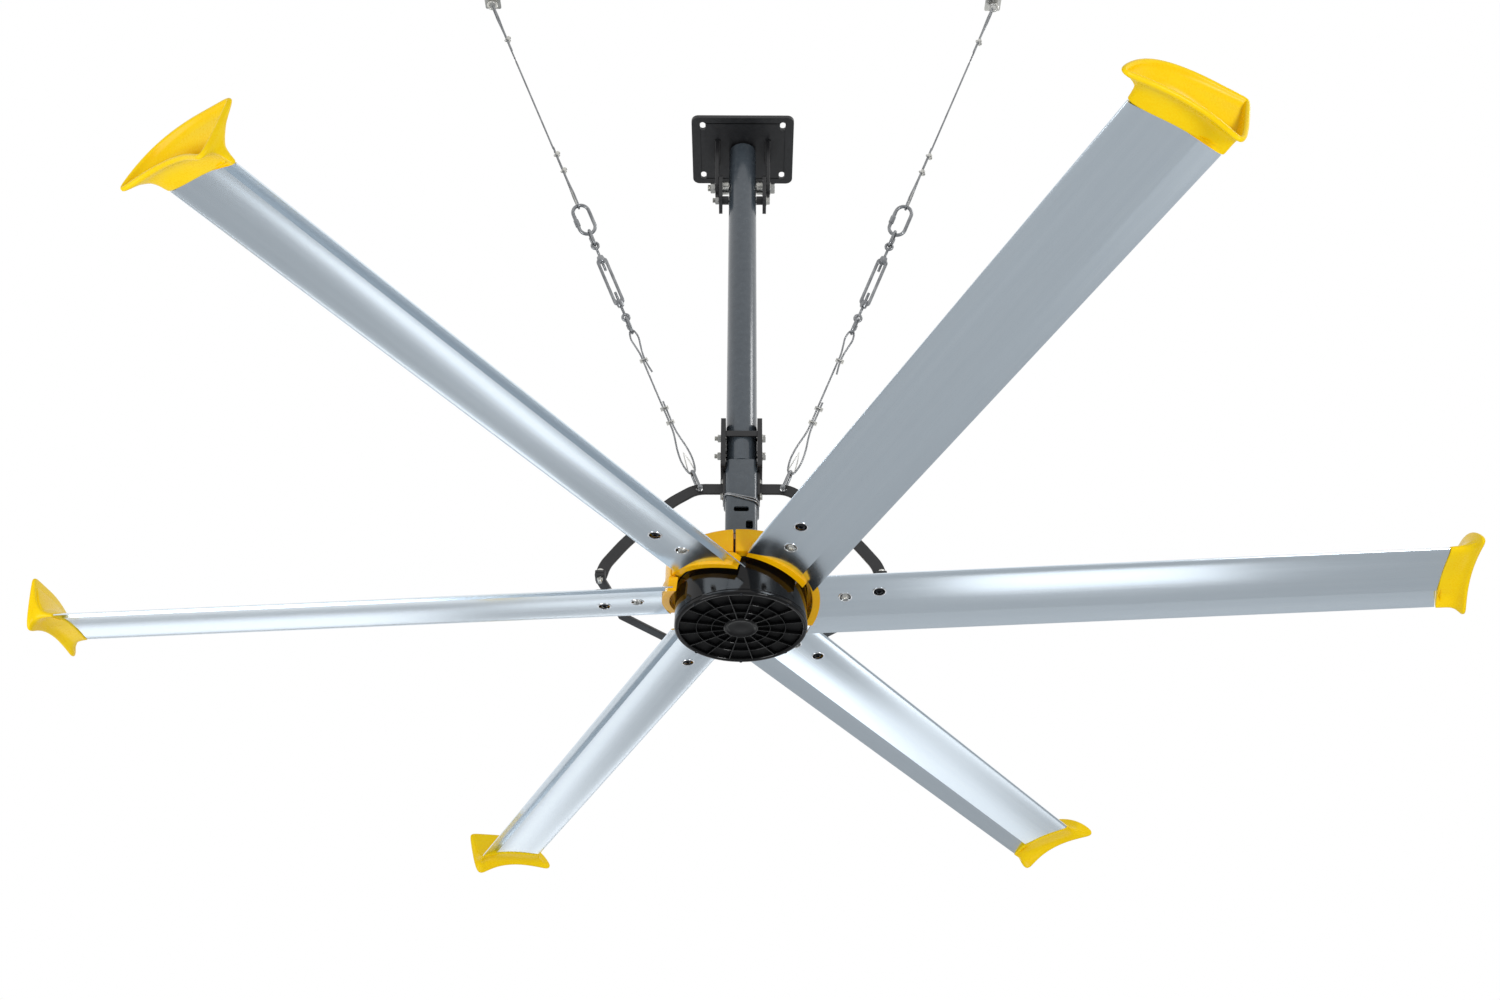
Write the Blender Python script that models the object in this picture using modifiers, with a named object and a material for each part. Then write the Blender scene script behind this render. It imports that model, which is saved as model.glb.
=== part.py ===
# Large six-blade industrial ceiling fan, hung on a swivel bracket and a downrod.
# Metres, +Z up. The origin is the middle of the ceiling plate's top face.
# Azimuth 0 is +X. Seen from above, the rotor turns clockwise and blows down.

import math

import bmesh
import bpy
from mathutils import Matrix, Vector

# Clearances
GAP = 0.0003                 # between touching faces
BOLT_CLEARANCE = 0.0005      # radial, bolt shank in its hole
OVERRUN = 0.004              # how far a cutter runs past a face
WELD = 0.00001               # distance at which loose corners are merged

# Ceiling bracket
PLATE_LENGTH = 0.240
PLATE_WIDTH = 0.206
PLATE_THICKNESS = 0.010
PLATE_CORNER = 0.016
SLOT_LENGTH = 0.024
SLOT_WIDTH = 0.013
SLOT_EDGE = 0.026            # slot middle to the plate's edge
EAR_THICKNESS = 0.008
EAR_WIDTH = 0.076
EAR_CLEARANCE = 0.001        # cheek to ear
EAR_TIP_RADIUS = 0.022
PIVOT_DROP = 0.125           # plate underside to the swivel axis

# Downrod and its cheeks
ROD_RADIUS = 0.03175
ROD_WALL = 0.0035
ROD_LENGTH = 0.936
ROD_TOP_CLEARANCE = 0.006    # room under the plate for the swivel to tilt
CHEEK_THICKNESS = 0.008
CHEEK_WIDTH = 0.056
CHEEK_CORNER = 0.010
CHEEK_ABOVE_PIVOT = 0.018
CHEEK_BELOW_PIVOT = 0.062
CHEEK_BOLT_DROP = 0.041      # swivel axis to the lower cheek bolt
SPACER_LENGTH = 0.0145
SPACER_WALL = 0.004

# Swivel bolt and cheek bolt
PIVOT_BOLT_RADIUS = 0.008
CHEEK_BOLT_RADIUS = 0.006
HEX_SHARE = 1.6              # hexagon corner radius over bolt radius
HEAD_SHARE = 0.65            # head height over bolt diameter
THREAD_END = 0.006           # thread past the nut

# Coupling clamp
CLAMP_THICKNESS = 0.010
CLAMP_HEIGHT = 0.125
CLAMP_CORNER = 0.006
CLAMP_BELOW_JOINT = 0.022
CLAMP_BOLT_RADIUS = 0.005
CLAMP_BOLT_SPACING = 0.046
CLAMP_BOLT_EDGE = 0.026      # upper bolt to the clamp's top edge
STRAP_THICKNESS = 0.004
STRAP_HEIGHT = 0.014
STRAP_INSET = 0.003          # strap's outer face to the clamp's edge
STRAP_DROP = 0.040           # clamp top to the strap's middle

# Lower mast
JOINT_GAP = 0.002
MAST_SIDE = 0.064
MAST_WALL = 0.004
MAST_CORNER = 0.011
MAST_LENGTH = 0.230
MAST_FLANGE_RADIUS = 0.062
MAST_FLANGE_THICKNESS = 0.008
WELD_DEPTH = 0.002           # how far a welded piece runs into the other

# Motor, upright sizes taken from the blade level
DRUM_RADIUS = 0.127
DRUM_WALL = 0.008
DRUM_RISE = 0.065
DRUM_DROP = 0.050
DRUM_CHAMFER = 0.004
DRUM_PLATE = 0.008
GROOVE_RISE = 0.018
GROOVE_HEIGHT = 0.003
GROOVE_DEPTH = 0.0015
SHAFT_RADIUS = 0.025
SHAFT_BORE = 0.017
SHAFT_FLANGE_THICKNESS = 0.008
SHAFT_FLANGE_CLEARANCE = 0.012
SHAFT_END_RISE = 0.005       # cover floor to the shaft's end
BEARING_RADIUS = 0.037
BEARING_HEIGHT = 0.014
BEARING_SEAT_WALL = 0.007
MAGNET_THICKNESS = 0.004
MAGNET_HEIGHT = 0.060
AIR_GAP = 0.0008
STATOR_HEIGHT = 0.056
TOOTH_COUNT = 12
SLOT_INNER_SHARE = 0.551     # of the drum's radius
TOOTH_WIDTH_SHARE = 0.173    # of the drum's radius
COIL_OUTER_INSET = 0.006
COIL_OVERHANG = 0.004
COIL_CLEARANCE = 0.001
FLANGE_BOLT_RADIUS = 0.004
FLANGE_BOLT_CIRCLE = 0.052
FLANGE_BOLT_COUNT = 4

# Bottom cover
COVER_FLOOR = 0.003
COVER_RIM_DEPTH = 0.009
COVER_RIM_WIDTH = 0.008
COVER_RING_RADIUS = 0.074
COVER_RING_WIDTH = 0.004
COVER_BOSS_RADIUS = 0.036
COVER_BOSS_WIDTH = 0.009
COVER_RIB_COUNT = 16
COVER_RIB_WIDTH = 0.003
COVER_RIB_DEPTH = 0.005

# Blades
BLADE_COUNT = 6
FAN_RADIUS = 1.3716          # over the tip caps
REST_TURN = math.radians(-5)  # of the first blade, at rest
BLADE_CHORD = 0.152
BLADE_THICKNESS = 0.0175
BLADE_WALL = 0.002
BLADE_OFFSET = 0.020         # chord middle behind the holder's middle line
BLADE_PITCH = math.radians(13)
BLADE_CAMBER_SHARE = 0.085   # of the chord
FLAP_START_SHARE = 0.77      # of the chord, from the nose
FLAP_THICKNESS = 0.0024
CELL_SHARES = ((0.030, 0.150), (0.166, 0.570), (0.586, 0.740))
ROOT_RADIUS = 0.1525         # the blade's root is cut to this circle

# Blade holders
HOLDER_WALL = 0.019
HOLDER_HEIGHT = 0.050
HOLDER_FLANGE = 0.006
HOLDER_FLANGE_WIDTH = 0.034
HOLDER_SPACE = 0.004         # between neighbouring holders
ROOT_BLOCK_WIDTH = 0.126
ROOT_BLOCK_HEIGHT = 0.028
ROOT_BLOCK_SHIFT = 0.012     # towards the trailing edge
LUG_LENGTH = 0.158           # inside the blade
LUG_WIDTH = 0.052
LUG_THICKNESS = 0.006
HOLDER_BOLT_RADIUS = 0.004
HOLDER_BOLT_ANGLE = math.radians(15)

# Blade bolts, with access holes in the lower skin
BLADE_BOLT_RADIUS = 0.005
BLADE_BOLT_HEAD = 0.0085
BLADE_BOLT_HEAD_HEIGHT = 0.0050
ACCESS_HOLE_RADIUS = 0.0110
FIRST_BOLT_IN = 0.048        # blade root to the first bolt
BLADE_BOLT_SPACING = 0.066
BOLT_STAGGER = 0.012
NUT_HEIGHT = 0.006

# Tip caps
CAP_DEPTH = 0.050
CAP_FLOOR = 0.005
CAP_WALL = 0.003
CAP_THROAT_SHARE = 0.5       # of the depth, where the flare starts to turn outwards
CAP_FLARE_SHARE = 0.15       # of the way from the collar to the rim, at the throat
CAP_FLOOR_SHARE = 0.55       # of the section's thickness
CAP_RIM = 0.007
CAP_MARGIN = 0.003           # collar outside the blade's skins
CAP_PLUG_LENGTH = 0.012
CAP_PLUG_CLEARANCE = 0.0006
CAP_NOSE_REACH = 0.042       # past the blade's nose
CAP_TAIL_REACH = 0.011       # past the trailing edge
CAP_HEIGHT = 0.106
CAP_LIFT = 0.023             # rim's middle above the chord

# Guy frame on the lower mast
FRAME_RISE = 0.270           # above the blade level
FRAME_BAR_WIDTH = 0.024
FRAME_BAR_THICKNESS = 0.006
FRAME_TOP_REACH = 0.092
FRAME_SHOULDER_REACH = 0.142
FRAME_SHOULDER_DROP = 0.034
FRAME_HIP_REACH = 0.232
FRAME_HIP_DROP = 0.136
FRAME_KNEE_REACH = 0.266
FRAME_KNEE_DROP = 0.184
HOOP_RADIUS = 0.273
HOOP_CLEARANCE = 0.049       # hoop underside above the blade level
HOOP_WIDTH = 0.020
HOOP_THICKNESS = 0.006
HOOP_SIDES = 6
PAD_HEIGHT = 0.060
PAD_WIDTH = 0.044
PAD_THICKNESS = 0.005
PAD_BOLT_SPACING = 0.036
FOOT_LENGTH = 0.040
FOOT_BOLT_CLEARANCE = 0.0015  # bolt head to the bar
FRAME_BOLT_RADIUS = 0.004
EYE_REACH = 0.085            # mast axis to the wire's eye hole
EYE_RADIUS = 0.0070
CABLE_RADIUS = 0.0016
CABLE_SLOPE = 0.016          # how much lower it lies on the right
CABLE_CLEARANCE = 0.0004

# Guy wires
ANCHOR_REACH_X = 0.544
ANCHOR_REACH_Y = -0.418
WIRE_RADIUS = 0.002
WIRE_STEP = 0.018            # between the points of a wire's route
LINK_RADIUS = 0.0028
HOOK_CLEARANCE = 0.0006       # between the bends of hooked links
LINK_LENGTH = 0.036          # over the end bends' middle lines
LINK_WIDTH = 0.016
SHACKLE_LENGTH = 0.040
SHACKLE_WIDTH = 0.026
CARABINER_LENGTH = 0.068
CARABINER_WIDTH = 0.034
CARABINER_RADIUS = 0.0038
TURNBUCKLE_LENGTH = 0.120
TURNBUCKLE_WIDTH = 0.024
TURNBUCKLE_BAR = 0.0032
TURNBUCKLE_NUT_RADIUS = 0.0075
TURNBUCKLE_NUT_LENGTH = 0.014
EYEBOLT_RADIUS = 0.003
EYEBOLT_REACH = 0.026        # nut's outer face to the eye's middle
EYEBOLT_EYE = 0.0068
EYEBOLT_IN = 0.020           # thread showing inside the body
CLIP_LENGTH = 0.007
CLIP_WIDTH = 0.017
CLIP_DEPTH = 0.010
ANCHOR_PLATE = 0.034
ANCHOR_PLATE_THICKNESS = 0.003
ANCHOR_RING_RADIUS = 0.009
ANCHOR_STEM = 0.010

ROUND_STEPS = 32
MIDDLE_STEPS = 24
HOLDER_STEPS = 4
SMALL_STEPS = 12

# Levels, from the ceiling down
PLATE_UNDERSIDE = -PLATE_THICKNESS
PIVOT_LEVEL = PLATE_UNDERSIDE - PIVOT_DROP
ROD_TOP = PLATE_UNDERSIDE - ROD_TOP_CLEARANCE
ROD_BOTTOM = ROD_TOP - ROD_LENGTH
MAST_TOP = ROD_BOTTOM - JOINT_GAP
MAST_FLANGE_TOP = MAST_TOP - MAST_LENGTH
MAST_BOTTOM = MAST_FLANGE_TOP - MAST_FLANGE_THICKNESS
SHAFT_TOP = MAST_BOTTOM - GAP
SHAFT_FLANGE_BOTTOM = SHAFT_TOP - SHAFT_FLANGE_THICKNESS
DRUM_TOP = SHAFT_FLANGE_BOTTOM - SHAFT_FLANGE_CLEARANCE
BLADE_LEVEL = DRUM_TOP - DRUM_RISE
DRUM_BOTTOM = BLADE_LEVEL - DRUM_DROP
COVER_TOP = DRUM_BOTTOM - GAP
COVER_FLOOR_BOTTOM = COVER_TOP - COVER_FLOOR
COVER_BOTTOM = COVER_TOP - COVER_RIM_DEPTH
FRAME_LEVEL = BLADE_LEVEL + FRAME_RISE
CLAMP_BOTTOM = MAST_TOP - CLAMP_BELOW_JOINT
CLAMP_TOP = CLAMP_BOTTOM + CLAMP_HEIGHT
CHEEK_OUTER = ROD_RADIUS + SPACER_LENGTH + CHEEK_THICKNESS + GAP
EAR_INNER = CHEEK_OUTER + EAR_CLEARANCE
FOOT_BOLT_REACH = FRAME_BAR_THICKNESS / 2 + FRAME_BOLT_RADIUS * HEX_SHARE + FOOT_BOLT_CLEARANCE
CAP_ROOT = FAN_RADIUS - CAP_DEPTH
BLADE_END = CAP_ROOT - GAP
BLADE_START = ROOT_RADIUS - BLADE_CHORD / 4
BLADE_LENGTH = BLADE_END - BLADE_START

SLOT_INNER_RADIUS = DRUM_RADIUS * SLOT_INNER_SHARE
TOOTH_WIDTH = DRUM_RADIUS * TOOTH_WIDTH_SHARE

AXIS_X = Matrix.Rotation(math.pi / 2, 4, "Y")
QUARTER = Matrix.Rotation(math.pi / 2, 4, "Z")
# Sets an outline upright: its X along Y, its Y up, its thickness along X
SECTION_TURN = Matrix(((0, 0, 1, 0), (1, 0, 0, 0), (0, 1, 0, 0), (0, 0, 0, 1)))
SIDES = (("left", -1), ("right", 1))

# The pieces of each moving body, by the start of their names
ROTOR_NAMES = ("motor_shell", "bottom_cover", "magnet_ring", "blade", "tip_cap")
SWAY_NAMES = ("cheek", "downrod", "clamp", "lower_mast", "motor_shaft", "bearing", "stator", "frame",
              "safety", "guy_wire", "turnbuckle", "shackle", "lower_link", "upper_link", "carabiner",
              "ceiling_anchor")


def clear_scene():
    for item in list(bpy.data.objects):
        bpy.data.objects.remove(item)


def make_collection(name):
    collection = bpy.data.collections.new(name)
    bpy.context.scene.collection.children.link(collection)
    return collection


clear_scene()
FAN = make_collection("industrial_fan")
CUTTERS = make_collection("cutters")


def material(name, colour, roughness, metallic):
    made = bpy.data.materials.new(name)
    made.use_nodes = True
    shader = made.node_tree.nodes["Principled BSDF"]
    shader.inputs["Base Color"].default_value = (*colour, 1)
    shader.inputs["Roughness"].default_value = roughness
    shader.inputs["Metallic"].default_value = metallic
    return made


BLACK_STEEL = material("black_powder_coat", (0.018, 0.018, 0.019), 0.45, 0.0)
GREY_STEEL = material("slate_powder_coat", (0.075, 0.090, 0.105), 0.38, 0.2)
ZINC = material("zinc_plated_steel", (0.62, 0.62, 0.60), 0.32, 1.0)
GALVANISED = material("galvanised_steel", (0.50, 0.51, 0.52), 0.40, 1.0)
ALUMINIUM = material("anodised_aluminium", (0.62, 0.66, 0.70), 0.30, 1.0)
YELLOW = material("yellow_enamel", (1.0, 0.62, 0.0), 0.30, 0.0)
BLACK_PLASTIC = material("black_glass_nylon", (0.014, 0.014, 0.015), 0.28, 0.0)
BRIGHT_STEEL = material("ground_steel", (0.58, 0.57, 0.55), 0.22, 1.0)
LAMINATION = material("stator_lamination", (0.20, 0.20, 0.21), 0.5, 0.8)
COPPER = material("enamelled_copper", (0.60, 0.26, 0.12), 0.35, 0.9)
FERRITE = material("magnet_nickel", (0.30, 0.30, 0.30), 0.35, 0.8)


# Building blocks

def place(name, mesh, matrix, finish, smooth=False):
    item = bpy.data.objects.new(name, mesh)
    mesh.name = name
    item.matrix_world = matrix
    mesh.materials.clear()
    mesh.materials.append(finish)
    FAN.objects.link(item)
    if smooth:
        mesh.shade_smooth()
        mesh.set_sharp_from_angle(angle=math.radians(35))
    return item


def evaluated_mesh(item):
    bpy.context.view_layer.update()
    graph = bpy.context.evaluated_depsgraph_get()
    mesh = bpy.data.meshes.new_from_object(item.evaluated_get(graph))
    for modifier in item.modifiers:
        if modifier.type == "BOOLEAN":
            bpy.data.objects.remove(modifier.object)
    bpy.data.objects.remove(item)
    work = bmesh.new()
    work.from_mesh(mesh)
    bmesh.ops.remove_doubles(work, verts=work.verts, dist=WELD)
    work.to_mesh(mesh)
    work.free()
    return mesh


def turned_mesh(profile, steps=ROUND_STEPS, ring=False):
    """Turns a profile of (radius, height) about Z. It runs down its outer side."""
    mesh = bpy.data.meshes.new("profile")
    points = [(radius, 0, height) for radius, height in profile]
    edges = [(i, i + 1) for i in range(len(points) - 1)]
    if ring:
        edges.append((len(points) - 1, 0))
    mesh.from_pydata(points, edges, [])
    item = bpy.data.objects.new("profile", mesh)
    FAN.objects.link(item)
    screw = item.modifiers.new("turn", "SCREW")
    screw.steps = steps
    screw.render_steps = steps
    screw.use_merge_vertices = True
    screw.merge_threshold = WELD
    return evaluated_mesh(item)


def flat_mesh(loops, thickness):
    """Fills flat outlines, with holes, and gives them a thickness about the plane Z = 0."""
    curve = bpy.data.curves.new("outline", "CURVE")
    curve.dimensions = "2D"
    curve.fill_mode = "BOTH"
    curve.extrude = thickness / 2
    for loop in loops:
        loop = [point for i, point in enumerate(loop) if math.dist(point, loop[i - 1]) > WELD]
        spline = curve.splines.new("POLY")
        spline.points.add(len(loop) - 1)
        for point, (x, y) in zip(spline.points, loop):
            point.co = (x, y, 0, 1)
        spline.use_cyclic_u = True
    item = bpy.data.objects.new("outline", curve)
    FAN.objects.link(item)
    mesh = evaluated_mesh(item)
    bpy.data.curves.remove(curve)
    return mesh


def box_mesh(size_x, size_y, size_z):
    work = bmesh.new()
    bmesh.ops.create_cube(work, size=1, matrix=Matrix.Diagonal((size_x, size_y, size_z, 1)))
    mesh = bpy.data.meshes.new("box")
    work.to_mesh(mesh)
    work.free()
    return mesh


def rod_mesh(radius, length, steps=SMALL_STEPS):
    work = bmesh.new()
    bmesh.ops.create_cone(work, cap_ends=True, segments=steps, radius1=radius,
                          radius2=radius, depth=length)
    mesh = bpy.data.meshes.new("rod")
    work.to_mesh(mesh)
    work.free()
    return mesh


def tube_mesh(points, radius, closed=False, sides=2):
    """A round wire along points, with closed ends."""
    curve = bpy.data.curves.new("wire", "CURVE")
    curve.dimensions = "3D"
    curve.bevel_depth = radius
    curve.bevel_resolution = sides
    curve.use_fill_caps = True
    spline = curve.splines.new("POLY")
    spline.points.add(len(points) - 1)
    for point, place_at in zip(spline.points, points):
        point.co = (*place_at, 1)
    spline.use_cyclic_u = closed
    item = bpy.data.objects.new("wire", curve)
    FAN.objects.link(item)
    mesh = evaluated_mesh(item)
    bpy.data.curves.remove(curve)
    return mesh


def group_mesh(parts):
    """Several separate solids in one mesh. Parts are (mesh, matrix) pairs."""
    work = bmesh.new()
    for mesh, matrix in parts:
        piece = bmesh.new()
        piece.from_mesh(mesh)
        piece.transform(matrix)
        moved = bpy.data.meshes.new("moved")
        piece.to_mesh(moved)
        piece.free()
        work.from_mesh(moved)
        bpy.data.meshes.remove(moved)
    mesh = bpy.data.meshes.new("group")
    work.to_mesh(mesh)
    work.free()
    return mesh


def boolean(item, mesh, operation):
    """Cuts or joins a mesh, given in the item's own frame, and keeps the modifier."""
    tool = bpy.data.objects.new(item.name + "_cutter", mesh)
    CUTTERS.objects.link(tool)
    tool.matrix_world = item.matrix_world
    tool.hide_render = True
    tool.display_type = "WIRE"
    modifier = item.modifiers.new(operation.lower(), "BOOLEAN")
    modifier.operation = operation
    modifier.solver = "EXACT"
    modifier.object = tool
    return item


def circle(radius, steps=SMALL_STEPS, middle=(0, 0)):
    turn = 2 * math.pi / steps
    return [(middle[0] + radius * math.cos(i * turn), middle[1] + radius * math.sin(i * turn))
            for i in range(steps)]


def rounded_rectangle(width, height, radius, steps=3):
    points = []
    for corner in range(4):
        turn = corner * math.pi / 2
        middle_x = (width / 2 - radius) * (1 if corner in (0, 3) else -1)
        middle_y = (height / 2 - radius) * (1 if corner in (0, 1) else -1)
        for i in range(steps + 1):
            angle = turn + i * math.pi / 2 / steps
            points.append((middle_x + radius * math.cos(angle), middle_y + radius * math.sin(angle)))
    return points


def moved(loop, x, y):
    return [(px + x, py + y) for px, py in loop]


def strip(path, width):
    """The outline of a flat bar of one width along a bent path, with mitred bends."""
    near = []
    far = []
    for i, point in enumerate(path):
        here = Vector(point)
        before = (here - Vector(path[i - 1])).normalized() if i else None
        after = (Vector(path[i + 1]) - here).normalized() if i < len(path) - 1 else None
        before = before or after
        after = after or before
        bisector = (before + after).normalized()
        side = Vector((-bisector.y, bisector.x))
        reach = width / 2 / max(bisector.dot(before), 0.5)
        near.append(tuple(here + side * reach))
        far.append(tuple(here - side * reach))
    return near + far[::-1]


def oval(length, width, steps=4):
    """A long ring's middle line: two straights and two round ends, in the XZ plane."""
    points = []
    radius = width / 2
    straight = length / 2 - radius
    for end in (1, -1):
        for i in range(steps + 1):
            angle = math.pi * i / steps
            points.append((radius * math.cos(angle) * end, 0, (straight + radius * math.sin(angle)) * end))
    return points


def through_bolt_mesh(radius, grip, two_ended=True):
    """A bolt along Z with a hexagon head at the top and its nut run on at the bottom.
    The grip lies between Z = 0 and Z = -grip."""
    head = radius * 2 * HEAD_SHARE
    tail = head + THREAD_END if two_ended else 0
    shank = rod_mesh(radius, head / 2 + grip + tail)
    shank.transform(Matrix.Translation((0, 0, (head / 2 - grip - tail) / 2)))
    item = bpy.data.objects.new("bolt", shank)
    FAN.objects.link(item)
    hexagon_solid = rod_mesh(radius * HEX_SHARE, head, 6)
    ends = [(hexagon_solid, Matrix.Translation((0, 0, head / 2)))]
    if two_ended:
        ends.append((hexagon_solid, Matrix.Translation((0, 0, -grip - head / 2))))
    boolean(item, group_mesh(ends), "UNION")
    return evaluated_mesh(item)


# Ceiling bracket, swivel and downrod

def plate_with_holes(width, height, corner, holes, thickness):
    loops = [rounded_rectangle(width, height, corner)]
    for x, y, radius in holes:
        loops.append(circle(radius, SMALL_STEPS, (x, y)))
    return flat_mesh(loops, thickness)


def ceiling_bracket():
    loops = [rounded_rectangle(PLATE_LENGTH, PLATE_WIDTH, PLATE_CORNER)]
    slot = rounded_rectangle(SLOT_WIDTH, SLOT_LENGTH, SLOT_WIDTH / 2)
    for side_x in (-1, 1):
        for side_y in (-1, 1):
            loops.append(moved(slot, side_x * (PLATE_LENGTH / 2 - SLOT_EDGE),
                               side_y * (PLATE_WIDTH / 2 - SLOT_EDGE)))
    plate = flat_mesh(loops, PLATE_THICKNESS)
    item = place("ceiling_bracket", plate, Matrix.Translation((0, 0, -PLATE_THICKNESS / 2)), BLACK_STEEL)
    half = EAR_WIDTH / 2
    rise = PIVOT_DROP + WELD_DEPTH
    ear = [(-half, rise), (-half, PIVOT_DROP / 3)]
    for i in range(7):
        angle = math.pi + math.pi * i / 6
        ear.append((EAR_TIP_RADIUS * math.cos(angle), EAR_TIP_RADIUS * math.sin(angle)))
    ear += [(half, PIVOT_DROP / 3), (half, rise)]
    hole = circle(PIVOT_BOLT_RADIUS + BOLT_CLEARANCE)
    ear_solid = flat_mesh([ear, hole], EAR_THICKNESS)
    drop = PIVOT_LEVEL + PLATE_THICKNESS / 2
    reach = EAR_INNER + EAR_THICKNESS / 2
    ears = [(ear_solid, Matrix.Translation((side * reach, 0, drop)) @ SECTION_TURN) for side in (-1, 1)]
    return boolean(item, group_mesh(ears), "UNION")


def swivel():
    reach = EAR_INNER + EAR_THICKNESS + GAP
    bolt = through_bolt_mesh(PIVOT_BOLT_RADIUS, 2 * reach)
    place("swivel_bolt", bolt, Matrix.Translation((reach, 0, PIVOT_LEVEL)) @ AXIS_X, ZINC, True)


def cheeks():
    height = CHEEK_ABOVE_PIVOT + CHEEK_BELOW_PIVOT
    middle = PIVOT_LEVEL + (CHEEK_ABOVE_PIVOT - CHEEK_BELOW_PIVOT) / 2
    reach = ROD_RADIUS + SPACER_LENGTH + GAP + CHEEK_THICKNESS / 2
    for name, side in SIDES:
        plate = flat_mesh([rounded_rectangle(CHEEK_WIDTH, height, CHEEK_CORNER)], CHEEK_THICKNESS)
        item = place("cheek_" + name, plate, Matrix.Translation((side * reach, 0, middle)) @ SECTION_TURN,
                     BLACK_STEEL)
        bosses = []
        drills = []
        for level, radius in cheek_holes():
            spot = Matrix.Translation((0, level - middle, 0))
            boss = rod_mesh(radius + SPACER_WALL, SPACER_LENGTH + WELD_DEPTH, 16)
            inward = -side * (CHEEK_THICKNESS + SPACER_LENGTH - WELD_DEPTH) / 2
            bosses.append((boss, spot @ Matrix.Translation((0, 0, inward))))
            drill = rod_mesh(radius + BOLT_CLEARANCE, 2 * (SPACER_LENGTH + CHEEK_THICKNESS + OVERRUN), 16)
            drills.append((drill, spot))
        boolean(item, group_mesh(bosses), "UNION")
        boolean(item, group_mesh(drills), "DIFFERENCE")


def cheek_holes():
    return ((PIVOT_LEVEL, PIVOT_BOLT_RADIUS), (PIVOT_LEVEL - CHEEK_BOLT_DROP, CHEEK_BOLT_RADIUS))


def cheek_bolt():
    reach = ROD_RADIUS + SPACER_LENGTH + CHEEK_THICKNESS + 2 * GAP
    bolt = through_bolt_mesh(CHEEK_BOLT_RADIUS, 2 * reach)
    level = PIVOT_LEVEL - CHEEK_BOLT_DROP
    place("cheek_bolt", bolt, Matrix.Translation((reach, 0, level)) @ AXIS_X, ZINC, True)


def cross_holes(levels, radius, reach):
    """Cutters for holes right through a tube along X."""
    drill = rod_mesh(radius + BOLT_CLEARANCE, 2 * reach + 2 * OVERRUN)
    return [(drill, Matrix.Translation((0, 0, level)) @ AXIS_X) for level in levels]


def downrod():
    wall = [(ROD_RADIUS - ROD_WALL, ROD_TOP), (ROD_RADIUS, ROD_TOP),
            (ROD_RADIUS, ROD_BOTTOM), (ROD_RADIUS - ROD_WALL, ROD_BOTTOM)]
    item = place("downrod", turned_mesh(wall, MIDDLE_STEPS, True), Matrix(), GREY_STEEL, True)
    cutters = cross_holes([PIVOT_LEVEL], PIVOT_BOLT_RADIUS, ROD_RADIUS)
    cutters += cross_holes([PIVOT_LEVEL - CHEEK_BOLT_DROP], CHEEK_BOLT_RADIUS, ROD_RADIUS)
    cutters += cross_holes(clamp_bolt_levels(), CLAMP_BOLT_RADIUS, ROD_RADIUS)
    return boolean(item, group_mesh(cutters), "DIFFERENCE")


# Coupling clamp

def clamp_bolt_levels():
    upper = CLAMP_TOP - CLAMP_BOLT_EDGE
    return [upper, upper - CLAMP_BOLT_SPACING]


def clamp_inner():
    return max(MAST_SIDE / 2, ROD_RADIUS) + GAP


def clamp():
    middle = (CLAMP_TOP + CLAMP_BOTTOM) / 2
    width = 2 * (ROD_RADIUS + GAP + STRAP_THICKNESS + STRAP_INSET)
    holes = [(0, level - middle, CLAMP_BOLT_RADIUS + BOLT_CLEARANCE) for level in clamp_bolt_levels()]
    for name, side in SIDES:
        mesh = plate_with_holes(width, CLAMP_HEIGHT, CLAMP_CORNER, holes, CLAMP_THICKNESS)
        item = place("clamp_" + name, mesh, Matrix.Translation(
            (side * (clamp_inner() + CLAMP_THICKNESS / 2), 0, middle)) @ SECTION_TURN, BLACK_STEEL)
        strap = box_mesh(STRAP_THICKNESS, STRAP_HEIGHT, 2 * clamp_inner() - GAP + WELD_DEPTH)
        inward = -side * (CLAMP_THICKNESS / 2 + clamp_inner() - (WELD_DEPTH + GAP) / 2)
        strap.transform(Matrix.Translation((side * (ROD_RADIUS + GAP + STRAP_THICKNESS / 2),
                                            CLAMP_TOP - STRAP_DROP - middle, inward)))
        boolean(item, strap, "UNION")


def clamp_bolts():
    reach = clamp_inner() + CLAMP_THICKNESS + GAP
    bolt = through_bolt_mesh(CLAMP_BOLT_RADIUS, 2 * reach)
    for name, level in zip(("upper", "lower"), clamp_bolt_levels()):
        place("clamp_bolt_" + name, bolt.copy(), Matrix.Translation((reach, 0, level)) @ AXIS_X, ZINC, True)


# Lower mast, shaft and motor

def lower_mast():
    outer = rounded_rectangle(MAST_SIDE, MAST_SIDE, MAST_CORNER)
    inner_side = MAST_SIDE - 2 * MAST_WALL
    inner = rounded_rectangle(inner_side, inner_side, MAST_CORNER - MAST_WALL)
    length = MAST_LENGTH + WELD_DEPTH
    tube = flat_mesh([outer, inner], length)
    item = place("lower_mast", tube, Matrix.Translation((0, 0, MAST_TOP - length / 2)), GREY_STEEL)
    loops = [circle(MAST_FLANGE_RADIUS, ROUND_STEPS), circle(SHAFT_BORE, SMALL_STEPS)]
    loops += flange_holes()
    flange = flat_mesh(loops, MAST_FLANGE_THICKNESS)
    local = MAST_BOTTOM + MAST_FLANGE_THICKNESS / 2 - (MAST_TOP - length / 2)
    flange.transform(Matrix.Translation((0, 0, local)))
    return boolean(item, flange, "UNION")


def flange_holes():
    holes = []
    for i in range(FLANGE_BOLT_COUNT):
        angle = (i + 0.5) * 2 * math.pi / FLANGE_BOLT_COUNT
        middle = (FLANGE_BOLT_CIRCLE * math.cos(angle), FLANGE_BOLT_CIRCLE * math.sin(angle))
        holes.append(circle(FLANGE_BOLT_RADIUS + BOLT_CLEARANCE, SMALL_STEPS, middle))
    return holes


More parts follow.
